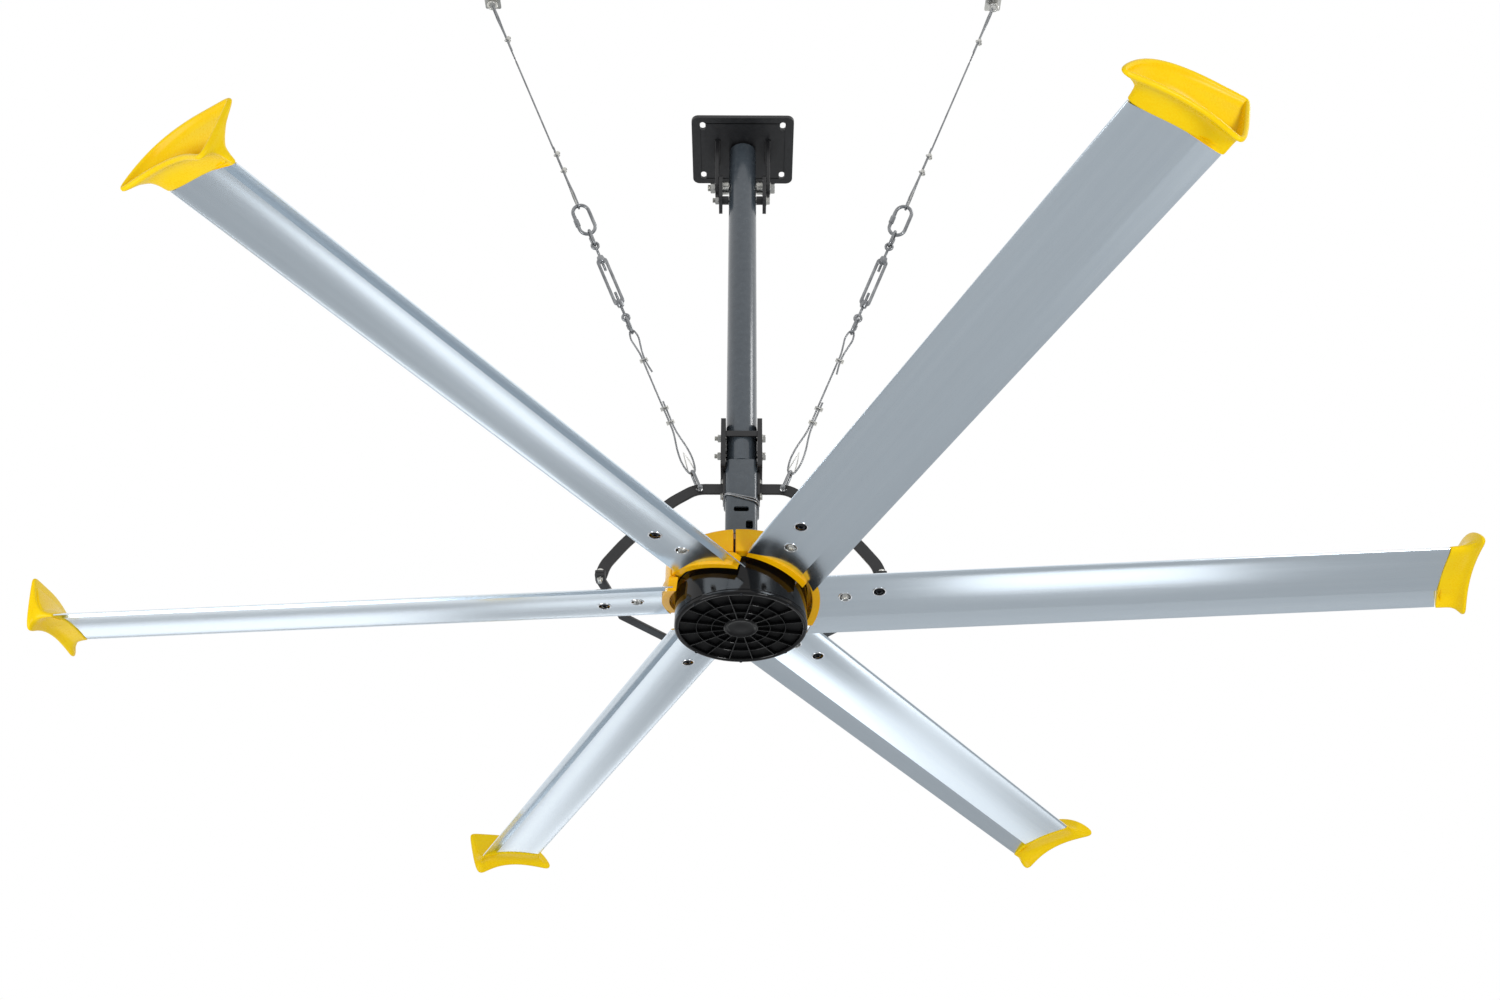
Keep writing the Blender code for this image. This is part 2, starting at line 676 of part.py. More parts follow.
def motor_shaft():
    bottom = COVER_TOP + SHAFT_END_RISE
    rings = [circle(SHAFT_RADIUS, ROUND_STEPS), circle(SHAFT_BORE, SMALL_STEPS)]
    tube = flat_mesh(rings, SHAFT_TOP - bottom)
    middle = (SHAFT_TOP + bottom) / 2
    item = place("motor_shaft", tube, Matrix.Translation((0, 0, middle)), BRIGHT_STEEL, True)
    hub = (SHAFT_RADIUS + SHAFT_BORE) / 2
    flange = flat_mesh([circle(MAST_FLANGE_RADIUS, MIDDLE_STEPS), circle(hub, SMALL_STEPS)],
                       SHAFT_FLANGE_THICKNESS)
    flange.transform(Matrix.Translation((0, 0, SHAFT_TOP - SHAFT_FLANGE_THICKNESS / 2 - middle)))
    boolean(item, flange, "UNION")
    grip = SHAFT_FLANGE_THICKNESS / 2 + MAST_FLANGE_THICKNESS + 2 * GAP
    stud = through_bolt_mesh(FLANGE_BOLT_RADIUS, grip, False)
    stud_place = Matrix.Translation((FLANGE_BOLT_CIRCLE, 0, MAST_FLANGE_TOP + GAP - middle))
    studs = []
    for i in range(FLANGE_BOLT_COUNT):
        spot = Matrix.Rotation(2 * math.pi * (i + 0.5) / FLANGE_BOLT_COUNT, 4, "Z")
        studs.append((stud, spot @ stud_place))
    return boolean(item, group_mesh(studs), "UNION")


def motor_shell():
    inner = DRUM_RADIUS - DRUM_WALL
    seat = BEARING_RADIUS + GAP
    groove_top = BLADE_LEVEL + GROOVE_RISE + GROOVE_HEIGHT
    groove_bottom = BLADE_LEVEL + GROOVE_RISE
    profile = [(seat, DRUM_TOP), (DRUM_RADIUS - DRUM_CHAMFER, DRUM_TOP),
               (DRUM_RADIUS, DRUM_TOP - DRUM_CHAMFER),
               (DRUM_RADIUS, groove_top), (DRUM_RADIUS - GROOVE_DEPTH, groove_top - GROOVE_DEPTH),
               (DRUM_RADIUS - GROOVE_DEPTH, groove_bottom + GROOVE_DEPTH / 2), (DRUM_RADIUS, groove_bottom),
               (DRUM_RADIUS, DRUM_BOTTOM), (inner, DRUM_BOTTOM), (inner, DRUM_TOP - DRUM_PLATE),
               (seat + BEARING_SEAT_WALL, DRUM_TOP - DRUM_PLATE),
               (seat + BEARING_SEAT_WALL, DRUM_TOP - BEARING_HEIGHT), (seat, DRUM_TOP - BEARING_HEIGHT)]
    place("motor_shell", turned_mesh(profile, ROUND_STEPS, True), Matrix(), BLACK_PLASTIC, True)


def bottom_cover():
    rim_inner = DRUM_RADIUS - COVER_RIM_WIDTH
    ring_outer = COVER_RING_RADIUS + COVER_RING_WIDTH / 2
    ring_inner = COVER_RING_RADIUS - COVER_RING_WIDTH / 2
    boss_inner = COVER_BOSS_RADIUS - COVER_BOSS_WIDTH
    ring_bottom = COVER_FLOOR_BOTTOM - COVER_RIB_DEPTH
    seat = BEARING_RADIUS + GAP
    seat_top = COVER_TOP + SHAFT_END_RISE + BEARING_HEIGHT
    bottom = COVER_FLOOR_BOTTOM
    profile = [(0, COVER_TOP), (seat, COVER_TOP), (seat, seat_top), (seat + BEARING_SEAT_WALL, seat_top),
               (seat + BEARING_SEAT_WALL, COVER_TOP), (DRUM_RADIUS, COVER_TOP),
               (DRUM_RADIUS, COVER_BOTTOM + DRUM_CHAMFER / 2),
               (DRUM_RADIUS - DRUM_CHAMFER / 2, COVER_BOTTOM), (rim_inner, COVER_BOTTOM),
               (rim_inner, bottom), (ring_outer, bottom), (ring_outer, ring_bottom),
               (ring_inner, ring_bottom), (ring_inner, bottom), (COVER_BOSS_RADIUS, bottom),
               (COVER_BOSS_RADIUS, COVER_BOTTOM), (boss_inner, COVER_BOTTOM), (boss_inner, bottom),
               (0, bottom)]
    item = place("bottom_cover", turned_mesh(profile), Matrix(), BLACK_PLASTIC)
    inner = COVER_BOSS_RADIUS - COVER_BOSS_WIDTH / 2
    outer = DRUM_RADIUS - COVER_RIM_WIDTH / 2
    rib = box_mesh(outer - inner, COVER_RIB_WIDTH, COVER_RIB_DEPTH + COVER_FLOOR / 2)
    level = COVER_FLOOR_BOTTOM + (COVER_FLOOR / 2 - COVER_RIB_DEPTH) / 2
    ribs = [(rib, Matrix.Rotation(2 * math.pi * i / COVER_RIB_COUNT, 4, "Z")
             @ Matrix.Translation(((inner + outer) / 2, 0, level))) for i in range(COVER_RIB_COUNT)]
    return boolean(item, group_mesh(ribs), "UNION")


def bearings():
    ring = [circle(BEARING_RADIUS, ROUND_STEPS), circle(SHAFT_RADIUS + GAP, ROUND_STEPS)]
    upper = DRUM_TOP - BEARING_HEIGHT / 2
    lower = COVER_TOP + SHAFT_END_RISE + BEARING_HEIGHT / 2
    for name, level in (("upper", upper), ("lower", lower)):
        spot = Matrix.Translation((0, 0, level))
        place("bearing_" + name, flat_mesh(ring, BEARING_HEIGHT), spot, BRIGHT_STEEL)


def sector(inner, outer, half_angle, steps=3):
    """A ring's sector about +X."""
    angles = [half_angle * (2 * i / steps - 1) for i in range(steps + 1)]
    loop = [(outer * math.cos(angle), outer * math.sin(angle)) for angle in angles]
    return loop + [(inner * math.cos(angle), inner * math.sin(angle)) for angle in reversed(angles)]


def magnet_ring():
    outer = DRUM_RADIUS - DRUM_WALL - GAP
    ring = [circle(outer, ROUND_STEPS), circle(outer - MAGNET_THICKNESS, ROUND_STEPS)]
    place("magnet_ring", flat_mesh(ring, MAGNET_HEIGHT), Matrix.Translation((0, 0, BLADE_LEVEL)), FERRITE)


def stator_outer():
    outer = DRUM_RADIUS - DRUM_WALL - GAP
    return outer - outer * (1 - math.cos(math.pi / ROUND_STEPS)) - MAGNET_THICKNESS - AIR_GAP


def stator():
    outer = stator_outer()
    pitch = 2 * math.pi / TOOTH_COUNT
    loop = []
    for i in range(TOOTH_COUNT):
        for radius, side in ((SLOT_INNER_RADIUS, -1), (outer, -1), (outer, 1), (SLOT_INNER_RADIUS, 1)):
            angle = i * pitch + side * math.asin(TOOTH_WIDTH / 2 / radius)
            loop.append((radius * math.cos(angle), radius * math.sin(angle)))
    core = flat_mesh([loop, circle(SHAFT_RADIUS + GAP, ROUND_STEPS)], STATOR_HEIGHT)
    place("stator_core", core, Matrix.Translation((0, 0, BLADE_LEVEL)), LAMINATION)
    far = outer - COIL_OUTER_INSET
    near = SLOT_INNER_RADIUS + COIL_CLEARANCE
    corners = []
    for radius in (near, far):
        edge = math.asin((TOOTH_WIDTH / 2 + COIL_CLEARANCE) / radius)
        corners.append((radius, pitch / 2 - edge))
    (near, near_half), (far, far_half) = corners
    loop = [(near * math.cos(near_half), -near * math.sin(near_half)),
            (far * math.cos(far_half), -far * math.sin(far_half)),
            (far * math.cos(far_half), far * math.sin(far_half)),
            (near * math.cos(near_half), near * math.sin(near_half))]
    height = STATOR_HEIGHT + 2 * (COIL_OVERHANG + COIL_CLEARANCE)
    coil = flat_mesh([loop], height - COIL_OVERHANG)
    coils = [(coil, Matrix.Rotation((i + 0.5) * pitch, 4, "Z")) for i in range(TOOTH_COUNT)]
    rings = [circle(far - COIL_CLEARANCE, MIDDLE_STEPS), circle(near + COIL_CLEARANCE, MIDDLE_STEPS)]
    ring = flat_mesh(rings, COIL_OVERHANG)
    level = (height - COIL_OVERHANG) / 2
    item = place("stator_winding", ring.copy(), Matrix.Translation((0, 0, BLADE_LEVEL)), COPPER)
    item.data.transform(Matrix.Translation((0, 0, level)))
    boolean(item, group_mesh(coils), "UNION")
    lower = ring.copy()
    lower.transform(Matrix.Translation((0, 0, -level)))
    boolean(item, lower, "UNION")


# Blades

def thickness_at(share):
    """Half thickness of the blade's section at a share of the chord."""
    curve = 0.2969 * math.sqrt(share) - 0.1260 * share - 0.3516 * share ** 2
    curve += 0.2843 * share ** 3 - 0.1036 * share ** 4
    return 5 * BLADE_THICKNESS * curve


def camber_at(share):
    return 4 * BLADE_CAMBER_SHARE * BLADE_CHORD * share * (1 - share)


def upper_skin(share):
    return camber_at(share) + thickness_at(share)


def lower_skin(share):
    if share > FLAP_START_SHARE:
        return upper_skin(share) - FLAP_THICKNESS
    return camber_at(share) - thickness_at(share)


def across(share):
    """Place across the chord: the nose is negative, the trailing edge positive."""
    return (share - 0.5) * BLADE_CHORD


UPPER_SHARES = (1.0, 0.94, 0.86, 0.76, 0.66, 0.56, 0.46, 0.36, 0.26, 0.17, 0.10, 0.05, 0.02, 0.005)
LOWER_SHARES = (0.0, 0.005, 0.02, 0.05, 0.10, 0.17, 0.26, 0.36, 0.46, 0.56, 0.66, 0.77, 0.785, 0.86, 0.94,
                1.0)


def blade_section():
    loop = [(across(share), upper_skin(share)) for share in UPPER_SHARES]
    loop += [(across(share), lower_skin(share)) for share in LOWER_SHARES]
    return loop


def cell_section(start, end, inset, steps=5):
    """A hollow of the extrusion between two webs, inset from both skins."""
    shares = [start + (end - start) * i / steps for i in range(steps + 1)]
    upper = [(across(share), upper_skin(share) - inset) for share in shares]
    lower = [(across(share), lower_skin(share) + inset) for share in reversed(shares)]
    return upper + lower


def along_blade(angle):
    """The frame of a blade: X out along it, Y to its trailing edge, Z up through its skins."""
    return (Matrix.Rotation(angle, 4, "Z") @ Matrix.Translation((0, 0, BLADE_LEVEL))
            @ Matrix.Translation((0, BLADE_OFFSET, 0)) @ Matrix.Rotation(-BLADE_PITCH, 4, "X"))


def lug_level():
    """Upper face of the lug, just under the upper skin."""
    edge_shares = [0.5 + (-BLADE_OFFSET + side * LUG_WIDTH / 2) / BLADE_CHORD for side in (-1, 1)]
    return min(upper_skin(share) for share in edge_shares) - BLADE_WALL - GAP


def blade_bolt_spots():
    spots = []
    for i in (0, 1):
        x = ROOT_RADIUS + FIRST_BOLT_IN + i * BLADE_BOLT_SPACING
        y = -BLADE_OFFSET + (0.5 - i) * BOLT_STAGGER
        spots.append((x, y))
    return spots


def blade_angle(index):
    return REST_TURN + 2 * math.pi * index / BLADE_COUNT


def blade_in_holder():
    """The frame of a blade, seen from its holder's."""
    return Matrix.Translation((0, BLADE_OFFSET, 0)) @ Matrix.Rotation(-BLADE_PITCH, 4, "X")


def root_circle(radius):
    """An upright cylinder round the rotor's axis, in a blade's frame."""
    cylinder = rod_mesh(radius, BLADE_CHORD, MIDDLE_STEPS)
    cylinder.transform(blade_in_holder().inverted())
    return cylinder


def blades():
    loops = [blade_section()]
    for start, end in CELL_SHARES:
        loops.append(cell_section(start, end, BLADE_WALL))
    mesh = flat_mesh(loops, BLADE_LENGTH)
    mesh.transform(Matrix.Translation(((BLADE_START + BLADE_END) / 2, 0, 0)) @ SECTION_TURN)
    drills = []
    reach = BLADE_THICKNESS
    wide = rod_mesh(ACCESS_HOLE_RADIUS, reach)
    narrow = rod_mesh(BLADE_BOLT_RADIUS + BOLT_CLEARANCE, reach)
    for x, y in blade_bolt_spots():
        middle = camber_at(0.5 + y / BLADE_CHORD)
        drills.append((wide, Matrix.Translation((x, y, middle - reach / 2))))
        drills.append((narrow, Matrix.Translation((x, y, middle + reach / 2))))
    base = place("blade_pattern", mesh, Matrix(), ALUMINIUM)
    boolean(base, group_mesh(drills), "DIFFERENCE")
    boolean(base, root_circle(ROOT_RADIUS), "DIFFERENCE")
    cut = evaluated_mesh(base)
    for index in range(BLADE_COUNT):
        place("blade_" + "abcdef"[index], cut, along_blade(blade_angle(index)), ALUMINIUM)
    cut.shade_smooth()
    cut.set_sharp_from_angle(angle=math.radians(28))


def holders():
    half = math.pi / BLADE_COUNT - HOLDER_SPACE / 2 / DRUM_RADIUS
    inner = (DRUM_RADIUS + GAP) / math.cos(half / HOLDER_STEPS)
    outer = inner + HOLDER_WALL
    top = DRUM_TOP + GAP + HOLDER_FLANGE - BLADE_LEVEL
    wall = flat_mesh([sector(inner, outer, half, HOLDER_STEPS)], HOLDER_HEIGHT)
    wall.transform(Matrix.Translation((0, 0, top - HOLDER_HEIGHT / 2)))
    base = place("holder_pattern", wall, Matrix(), YELLOW)
    flange_inner = DRUM_RADIUS - HOLDER_FLANGE_WIDTH
    flange = flat_mesh([sector(flange_inner, (inner + outer) / 2, half, HOLDER_STEPS)], HOLDER_FLANGE)
    flange.transform(Matrix.Translation((0, 0, top - HOLDER_FLANGE / 2)))
    boolean(base, flange, "UNION")
    pitched = blade_in_holder()
    seat = inner + HOLDER_WALL / 2
    boolean(base, root_block(seat), "UNION")
    lug_end = ROOT_RADIUS + LUG_LENGTH
    outline = rounded_rectangle(lug_end - seat, LUG_WIDTH, LUG_WIDTH / 6)
    lug = flat_mesh([moved(outline, (seat + lug_end) / 2, 0)], LUG_THICKNESS)
    lug.transform(pitched @ Matrix.Translation((0, -BLADE_OFFSET, lug_level() - LUG_THICKNESS / 2)))
    boolean(base, lug, "UNION")
    fasteners = group_mesh(blade_fasteners())
    fasteners.transform(pitched)
    boolean(base, fasteners, "UNION")
    boolean(base, group_mesh(holder_bolts(top)), "UNION")
    mesh = evaluated_mesh(base)
    for index in range(BLADE_COUNT):
        spot = Matrix.Rotation(blade_angle(index), 4, "Z") @ Matrix.Translation((0, 0, BLADE_LEVEL))
        place("blade_holder_" + "abcdef"[index], mesh, spot, YELLOW)


def root_block(inner):
    """The block between the ring's wall and the circle that the blade's root is cut to."""
    start = inner - BLADE_CHORD / 4
    end = ROOT_RADIUS + HOLDER_WALL
    y = ROOT_BLOCK_SHIFT - BLADE_OFFSET
    block = box_mesh(end - start, ROOT_BLOCK_WIDTH, ROOT_BLOCK_HEIGHT)
    spot = Matrix.Translation(((start + end) / 2, y, camber_at(0.5 + y / BLADE_CHORD)))
    block.transform(blade_in_holder() @ spot)
    item = bpy.data.objects.new("root_block", block)
    FAN.objects.link(item)
    boolean(item, rod_mesh(ROOT_RADIUS - GAP, BLADE_CHORD, MIDDLE_STEPS), "INTERSECT")
    boolean(item, rod_mesh(inner, BLADE_CHORD, MIDDLE_STEPS), "DIFFERENCE")
    return evaluated_mesh(item)


def holder_bolts(top):
    """Bolt heads on the holder's flange, which run into it."""
    head = rod_mesh(HOLDER_BOLT_RADIUS * HEX_SHARE, HOLDER_BOLT_RADIUS + WELD_DEPTH, 6)
    reach = DRUM_RADIUS - HOLDER_FLANGE_WIDTH / 2
    level = top + (HOLDER_BOLT_RADIUS - WELD_DEPTH) / 2
    return [(head, Matrix.Rotation(side * HOLDER_BOLT_ANGLE, 4, "Z") @ Matrix.Translation((reach, 0, level)))
            for side in (-1, 1)]


def blade_fasteners():
    """The bolts that clamp a blade's upper skin to its lug, in the blade's frame."""
    under_lug = lug_level() - LUG_THICKNESS
    parts = []
    for x, y in blade_bolt_spots():
        top = max(upper_skin(0.5 + (y + side * BLADE_BOLT_RADIUS * HEX_SHARE) / BLADE_CHORD)
                  for side in (-1, 0, 1))
        nut = rod_mesh(BLADE_BOLT_RADIUS * HEX_SHARE, NUT_HEIGHT, 6)
        parts.append((nut, Matrix.Translation((x, y, top + GAP + NUT_HEIGHT / 2))))
        length = top + GAP + NUT_HEIGHT / 2 - under_lug + BLADE_BOLT_HEAD_HEIGHT / 2
        shank = rod_mesh(BLADE_BOLT_RADIUS, length)
        middle = top + GAP + NUT_HEIGHT / 2 - length / 2
        item = bpy.data.objects.new("shank", shank)
        FAN.objects.link(item)
        shank.transform(Matrix.Translation((x, y, middle)))
        ends = [(nut, Matrix.Translation((x, y, top + GAP + NUT_HEIGHT / 2))),
                (rod_mesh(BLADE_BOLT_HEAD, BLADE_BOLT_HEAD_HEIGHT + WELD_DEPTH / 2),
                 Matrix.Translation((x, y, under_lug + (WELD_DEPTH / 2 - BLADE_BOLT_HEAD_HEIGHT) / 2)))]
        boolean(item, group_mesh(ends), "UNION")
        parts[-1] = (evaluated_mesh(item), Matrix())
    return parts


# Tip caps

# The rim's outline, as shares of its length and height: over the top, then back below
CAP_TOP_SHARES = ((0.0, 0.10), (0.03, 0.245), (0.098, 0.45), (0.20, 0.64), (0.31, 0.765), (0.424, 0.85),
                  (0.54, 0.91), (0.654, 0.945), (0.80, 0.97), (0.93, 1.0), (0.985, 0.985))
CAP_BOTTOM_SHARES = ((1.0, 0.90), (0.995, 0.52), (0.98, 0.17), (0.95, 0.03), (0.90, 0.0), (0.82, 0.065),
                     (0.71, 0.14), (0.575, 0.18), (0.43, 0.18), (0.283, 0.14), (0.137, 0.075),
                     (0.04, 0.02))


def cap_outline():
    length = BLADE_CHORD + CAP_NOSE_REACH + CAP_TAIL_REACH
    start = -BLADE_CHORD / 2 - CAP_NOSE_REACH
    bottom = CAP_LIFT - CAP_HEIGHT / 2
    return [(start + length * across_share, bottom + CAP_HEIGHT * up_share)
            for across_share, up_share in CAP_TOP_SHARES + CAP_BOTTOM_SHARES]


def cap_collar(margin, nearness):
    """The blade's section with a margin outside it, one point for each point of the rim.
    At nearness 0 they lie on the camber line."""
    points = []
    half = BLADE_CHORD / 2 + margin
    for i, (across_share, up_share) in enumerate(CAP_TOP_SHARES + CAP_BOTTOM_SHARES):
        side = 1 if i < len(CAP_TOP_SHARES) else -1
        skin = upper_skin if side > 0 else lower_skin
        y = half * (2 * across_share - 1)
        share = min(max(0.5 + y / BLADE_CHORD, 0), 1)
        round_end = min(half - abs(y), margin)
        middle = camber_at(share)
        reach = skin(share) - middle + side * round_end
        points.append((y * (1 + nearness) / 2, middle + reach * nearness))
    return points


def between(near, far, share):
    """A loop part of the way from one loop to another."""
    return [tuple(Vector(start).lerp(Vector(end), share)) for start, end in zip(near, far)]


def inset(loop, distance):
    points = []
    for i, point in enumerate(loop):
        along = (Vector(loop[(i + 1) % len(loop)]) - Vector(loop[i - 1])).normalized()
        points.append(tuple(Vector(point) + Vector((along.y, -along.x)) * distance))
    return points


def cap_tray(outline):
    """A dished tray: a collar round the blade's end flares like a trumpet to a deep rim."""
    collar = cap_collar(CAP_MARGIN, 1)
    throat = between(collar, outline, CAP_FLARE_SHARE)
    throat_reach = CAP_ROOT + CAP_DEPTH * CAP_THROAT_SHARE
    levels = ((CAP_ROOT, collar), (throat_reach, throat), (FAN_RADIUS - CAP_RIM, outline),
              (FAN_RADIUS, outline), (FAN_RADIUS, inset(outline, CAP_RIM)),
              (throat_reach + CAP_WALL, inset(throat, CAP_WALL)),
              (CAP_ROOT + CAP_FLOOR, cap_collar(0, CAP_FLOOR_SHARE)))
    work = bmesh.new()
    rings = [[work.verts.new((x, y, z)) for y, z in loop] for x, loop in levels]
    for near, far in zip(rings, rings[1:]):
        for i in range(len(near)):
            work.faces.new((near[i - 1], near[i], far[i], far[i - 1]))
    work.faces.new(rings[0])
    work.faces.new(rings[-1])
    bmesh.ops.recalc_face_normals(work, faces=work.faces)
    mesh = bpy.data.meshes.new("tip_cap")
    work.to_mesh(mesh)
    work.free()
    return mesh


def cap_plugs():
    length = CAP_PLUG_LENGTH + WELD_DEPTH
    middle = CAP_ROOT + WELD_DEPTH - length / 2
    parts = []
    for start, end in CELL_SHARES[1:]:
        edge = CAP_PLUG_CLEARANCE / BLADE_CHORD
        loop = cell_section(start + edge, end - edge, BLADE_WALL + CAP_PLUG_CLEARANCE)
        plug = flat_mesh([loop], length)
        parts.append((plug, Matrix.Translation((middle, 0, 0)) @ SECTION_TURN))
    return group_mesh(parts)


def tip_caps():
    base = place("cap_pattern", cap_tray(cap_outline()), Matrix(), YELLOW)
    boolean(base, cap_plugs(), "UNION")
    mesh = evaluated_mesh(base)
    for index in range(BLADE_COUNT):
        place("tip_cap_" + "abcdef"[index], mesh, along_blade(blade_angle(index)), YELLOW)
    mesh.shade_smooth()
    mesh.set_sharp_from_angle(angle=math.radians(40))


# Guy frame and safety cable

def foot_level():
    return BLADE_LEVEL + HOOP_CLEARANCE + HOOP_THICKNESS + GAP


def frame_arm(name, side):
    pad_face = MAST_SIDE / 2 + GAP
    top = FRAME_LEVEL
    path = [(pad_face + PAD_THICKNESS / 2, top), (FRAME_TOP_REACH, top),
            (FRAME_SHOULDER_REACH, top - FRAME_SHOULDER_DROP), (FRAME_HIP_REACH, top - FRAME_HIP_DROP),
            (FRAME_KNEE_REACH, top - FRAME_KNEE_DROP), (HOOP_RADIUS, foot_level() + FRAME_BAR_THICKNESS / 2)]
    hole = circle(EYE_RADIUS, SMALL_STEPS, (EYE_REACH, top))
    bar = flat_mesh([strip(path, FRAME_BAR_WIDTH), hole], FRAME_BAR_THICKNESS)
    upright = Matrix(((side, 0, 0, 0), (0, 0, -side, 0), (0, 1, 0, 0), (0, 0, 0, 1)))
    bar.transform(upright)
    item = place("frame_arm_" + name, bar, Matrix(), BLACK_STEEL)
    pad = plate_with_holes(PAD_WIDTH, PAD_HEIGHT, PAD_THICKNESS, [], PAD_THICKNESS)
    pad.transform(Matrix.Translation((side * (pad_face + PAD_THICKNESS / 2), 0, top)) @ SECTION_TURN)
    boolean(item, pad, "UNION")
    head = rod_mesh(FRAME_BOLT_RADIUS * HEX_SHARE, FRAME_BOLT_RADIUS + WELD_DEPTH, 6)
    reach = pad_face + PAD_THICKNESS + (FRAME_BOLT_RADIUS - WELD_DEPTH) / 2
    heads = [(head, Matrix.Translation((side * reach, 0, top + shift * PAD_BOLT_SPACING / 2)) @ AXIS_X)
             for shift in (-1, 1)]
    boolean(item, group_mesh(heads), "UNION")
    holes = [(0, -FOOT_BOLT_REACH, FRAME_BOLT_RADIUS + BOLT_CLEARANCE)]
    foot = plate_with_holes(HOOP_WIDTH, FOOT_LENGTH, FRAME_BAR_THICKNESS / 2, holes, FRAME_BAR_THICKNESS)
    foot.transform(Matrix.Translation((side * HOOP_RADIUS, 0, foot_level() + FRAME_BAR_THICKNESS / 2)))
    return boolean(item, foot, "UNION")


def frame_hoop():
    path = [(HOOP_RADIUS, -FOOT_LENGTH / 2)]
    for i in range(HOOP_SIDES + 1):
        angle = math.pi * i / HOOP_SIDES
        path.append((HOOP_RADIUS * math.cos(angle), HOOP_RADIUS * math.sin(angle)))
    path.append((-HOOP_RADIUS, -FOOT_LENGTH / 2))
    loops = [strip(path, HOOP_WIDTH)]
    for side in (-1, 1):
        spot = (side * HOOP_RADIUS, -FOOT_BOLT_REACH)
        loops.append(circle(FRAME_BOLT_RADIUS + BOLT_CLEARANCE, SMALL_STEPS, spot))
    level = BLADE_LEVEL + HOOP_CLEARANCE + HOOP_THICKNESS / 2
    place("frame_hoop", flat_mesh(loops, HOOP_THICKNESS), Matrix.Translation((0, 0, level)), BLACK_STEEL)


def frame_bolts():
    top = foot_level() + FRAME_BAR_THICKNESS + GAP
    bolt = through_bolt_mesh(FRAME_BOLT_RADIUS, FRAME_BAR_THICKNESS + HOOP_THICKNESS + 3 * GAP)
    for name, side in SIDES:
        spot = Matrix.Translation((side * HOOP_RADIUS, -FOOT_BOLT_REACH, top))
        place("frame_bolt_" + name, bolt.copy(), spot, ZINC, True)


def safety_cable():
    reach = MAST_SIDE / 2 + CABLE_RADIUS + CABLE_CLEARANCE
    ring = rounded_rectangle(2 * reach, 2 * reach, MAST_CORNER + CABLE_RADIUS, 3)
    level = FRAME_LEVEL - PAD_HEIGHT / 2 - CABLE_RADIUS - CABLE_SLOPE / 2 - CABLE_CLEARANCE
    points = [(x, y, level - CABLE_SLOPE * x / reach / 2) for x, y in ring]
    place("safety_cable", tube_mesh(points, CABLE_RADIUS, True), Matrix(), GALVANISED, True)


# Guy wires

def guy_frame(side):
    """Z runs up the wire from the arm's eye hole to its ceiling anchor. X is the eye's own axis,
    as nearly as it can lie square to the wire."""
    start = Vector((side * EYE_REACH, 0, FRAME_LEVEL))
    end = Vector((side * ANCHOR_REACH_X, ANCHOR_REACH_Y, -ANCHOR_PLATE_THICKNESS - ANCHOR_STEM))
    up = (end - start).normalized()
    eye = Vector((0, 1, 0))
    across_wire = (eye - up * eye.dot(up)).normalized()
    turn = Matrix((across_wire, up.cross(across_wire), up)).transposed().to_4x4()
    return Matrix.Translation(start) @ turn, (end - start).length


def ring_link(name, frame, size, start, turned):
    """A closed link of (length, width, radius), from the middle line of its lower bend."""
    length, width, radius = size
    mesh = tube_mesh(oval(length, width), radius, True, 1)
    turn = QUARTER if turned else Matrix()
    place(name, mesh, frame @ Matrix.Translation((0, 0, start + length / 2)) @ turn, GALVANISED, True)
    return start + length


def hooked(lower_end, upper_radius, lower_radius):
    """Where an end bend lies when it hangs in the bend below it."""
    return lower_end - (upper_radius + lower_radius + HOOK_CLEARANCE)


def turnbuckle_mesh():
    """A body of two bars and two nuts, with an eyebolt run into each end."""
    half = TURNBUCKLE_LENGTH / 2
    bar = rod_mesh(TURNBUCKLE_BAR, TURNBUCKLE_LENGTH - TURNBUCKLE_NUT_LENGTH, 8)
    reach = TURNBUCKLE_WIDTH / 2 - TURNBUCKLE_BAR
    body = bpy.data.objects.new("turnbuckle", group_mesh(
        [(bar, Matrix.Translation((shift * reach, 0, 0))) for shift in (-1, 1)]))
    FAN.objects.link(body)
    radius = TURNBUCKLE_NUT_RADIUS
    nut = flat_mesh([rounded_rectangle(TURNBUCKLE_WIDTH, 2 * radius, radius / 2)], TURNBUCKLE_NUT_LENGTH)
    nuts = group_mesh([(nut, Matrix.Translation((0, 0, shift * (half - TURNBUCKLE_NUT_LENGTH / 2))))
                       for shift in (-1, 1)])
    boolean(body, nuts, "UNION")
    boolean(body, group_mesh([(eyebolt_mesh(end), Matrix()) for end in (-1, 1)]), "UNION")
    return evaluated_mesh(body)


def eyebolt_mesh(end):
    """A threaded rod with a round eye, for the upper (1) or lower (-1) end of the body."""
    half = TURNBUCKLE_LENGTH / 2
    inner = half - TURNBUCKLE_NUT_LENGTH - EYEBOLT_IN
    eye_middle = half + EYEBOLT_REACH
    outer = eye_middle - EYEBOLT_EYE
    rod = rod_mesh(EYEBOLT_RADIUS, outer - inner, 8)
    body = bpy.data.objects.new("eyebolt", rod)
    FAN.objects.link(body)
    rod.transform(Matrix.Translation((0, 0, end * (inner + outer) / 2)))
    points = [(x, y, z + end * eye_middle) for x, y, z in oval(2 * EYEBOLT_EYE, 2 * EYEBOLT_EYE)]
    boolean(body, tube_mesh(points, EYEBOLT_RADIUS, True, 2), "UNION")
    return evaluated_mesh(body)


def clips_mesh(stations):
    """Clips that clamp two strands of a wire side by side."""
    clip = flat_mesh([rounded_rectangle(CLIP_WIDTH, CLIP_DEPTH, CLIP_DEPTH / 4, 2)], CLIP_LENGTH)
    return group_mesh([(clip, Matrix.Translation((0, 0, station))) for station in stations])


STRAND = WIRE_RADIUS + 2 * GAP     # half the spacing of two strands side by side

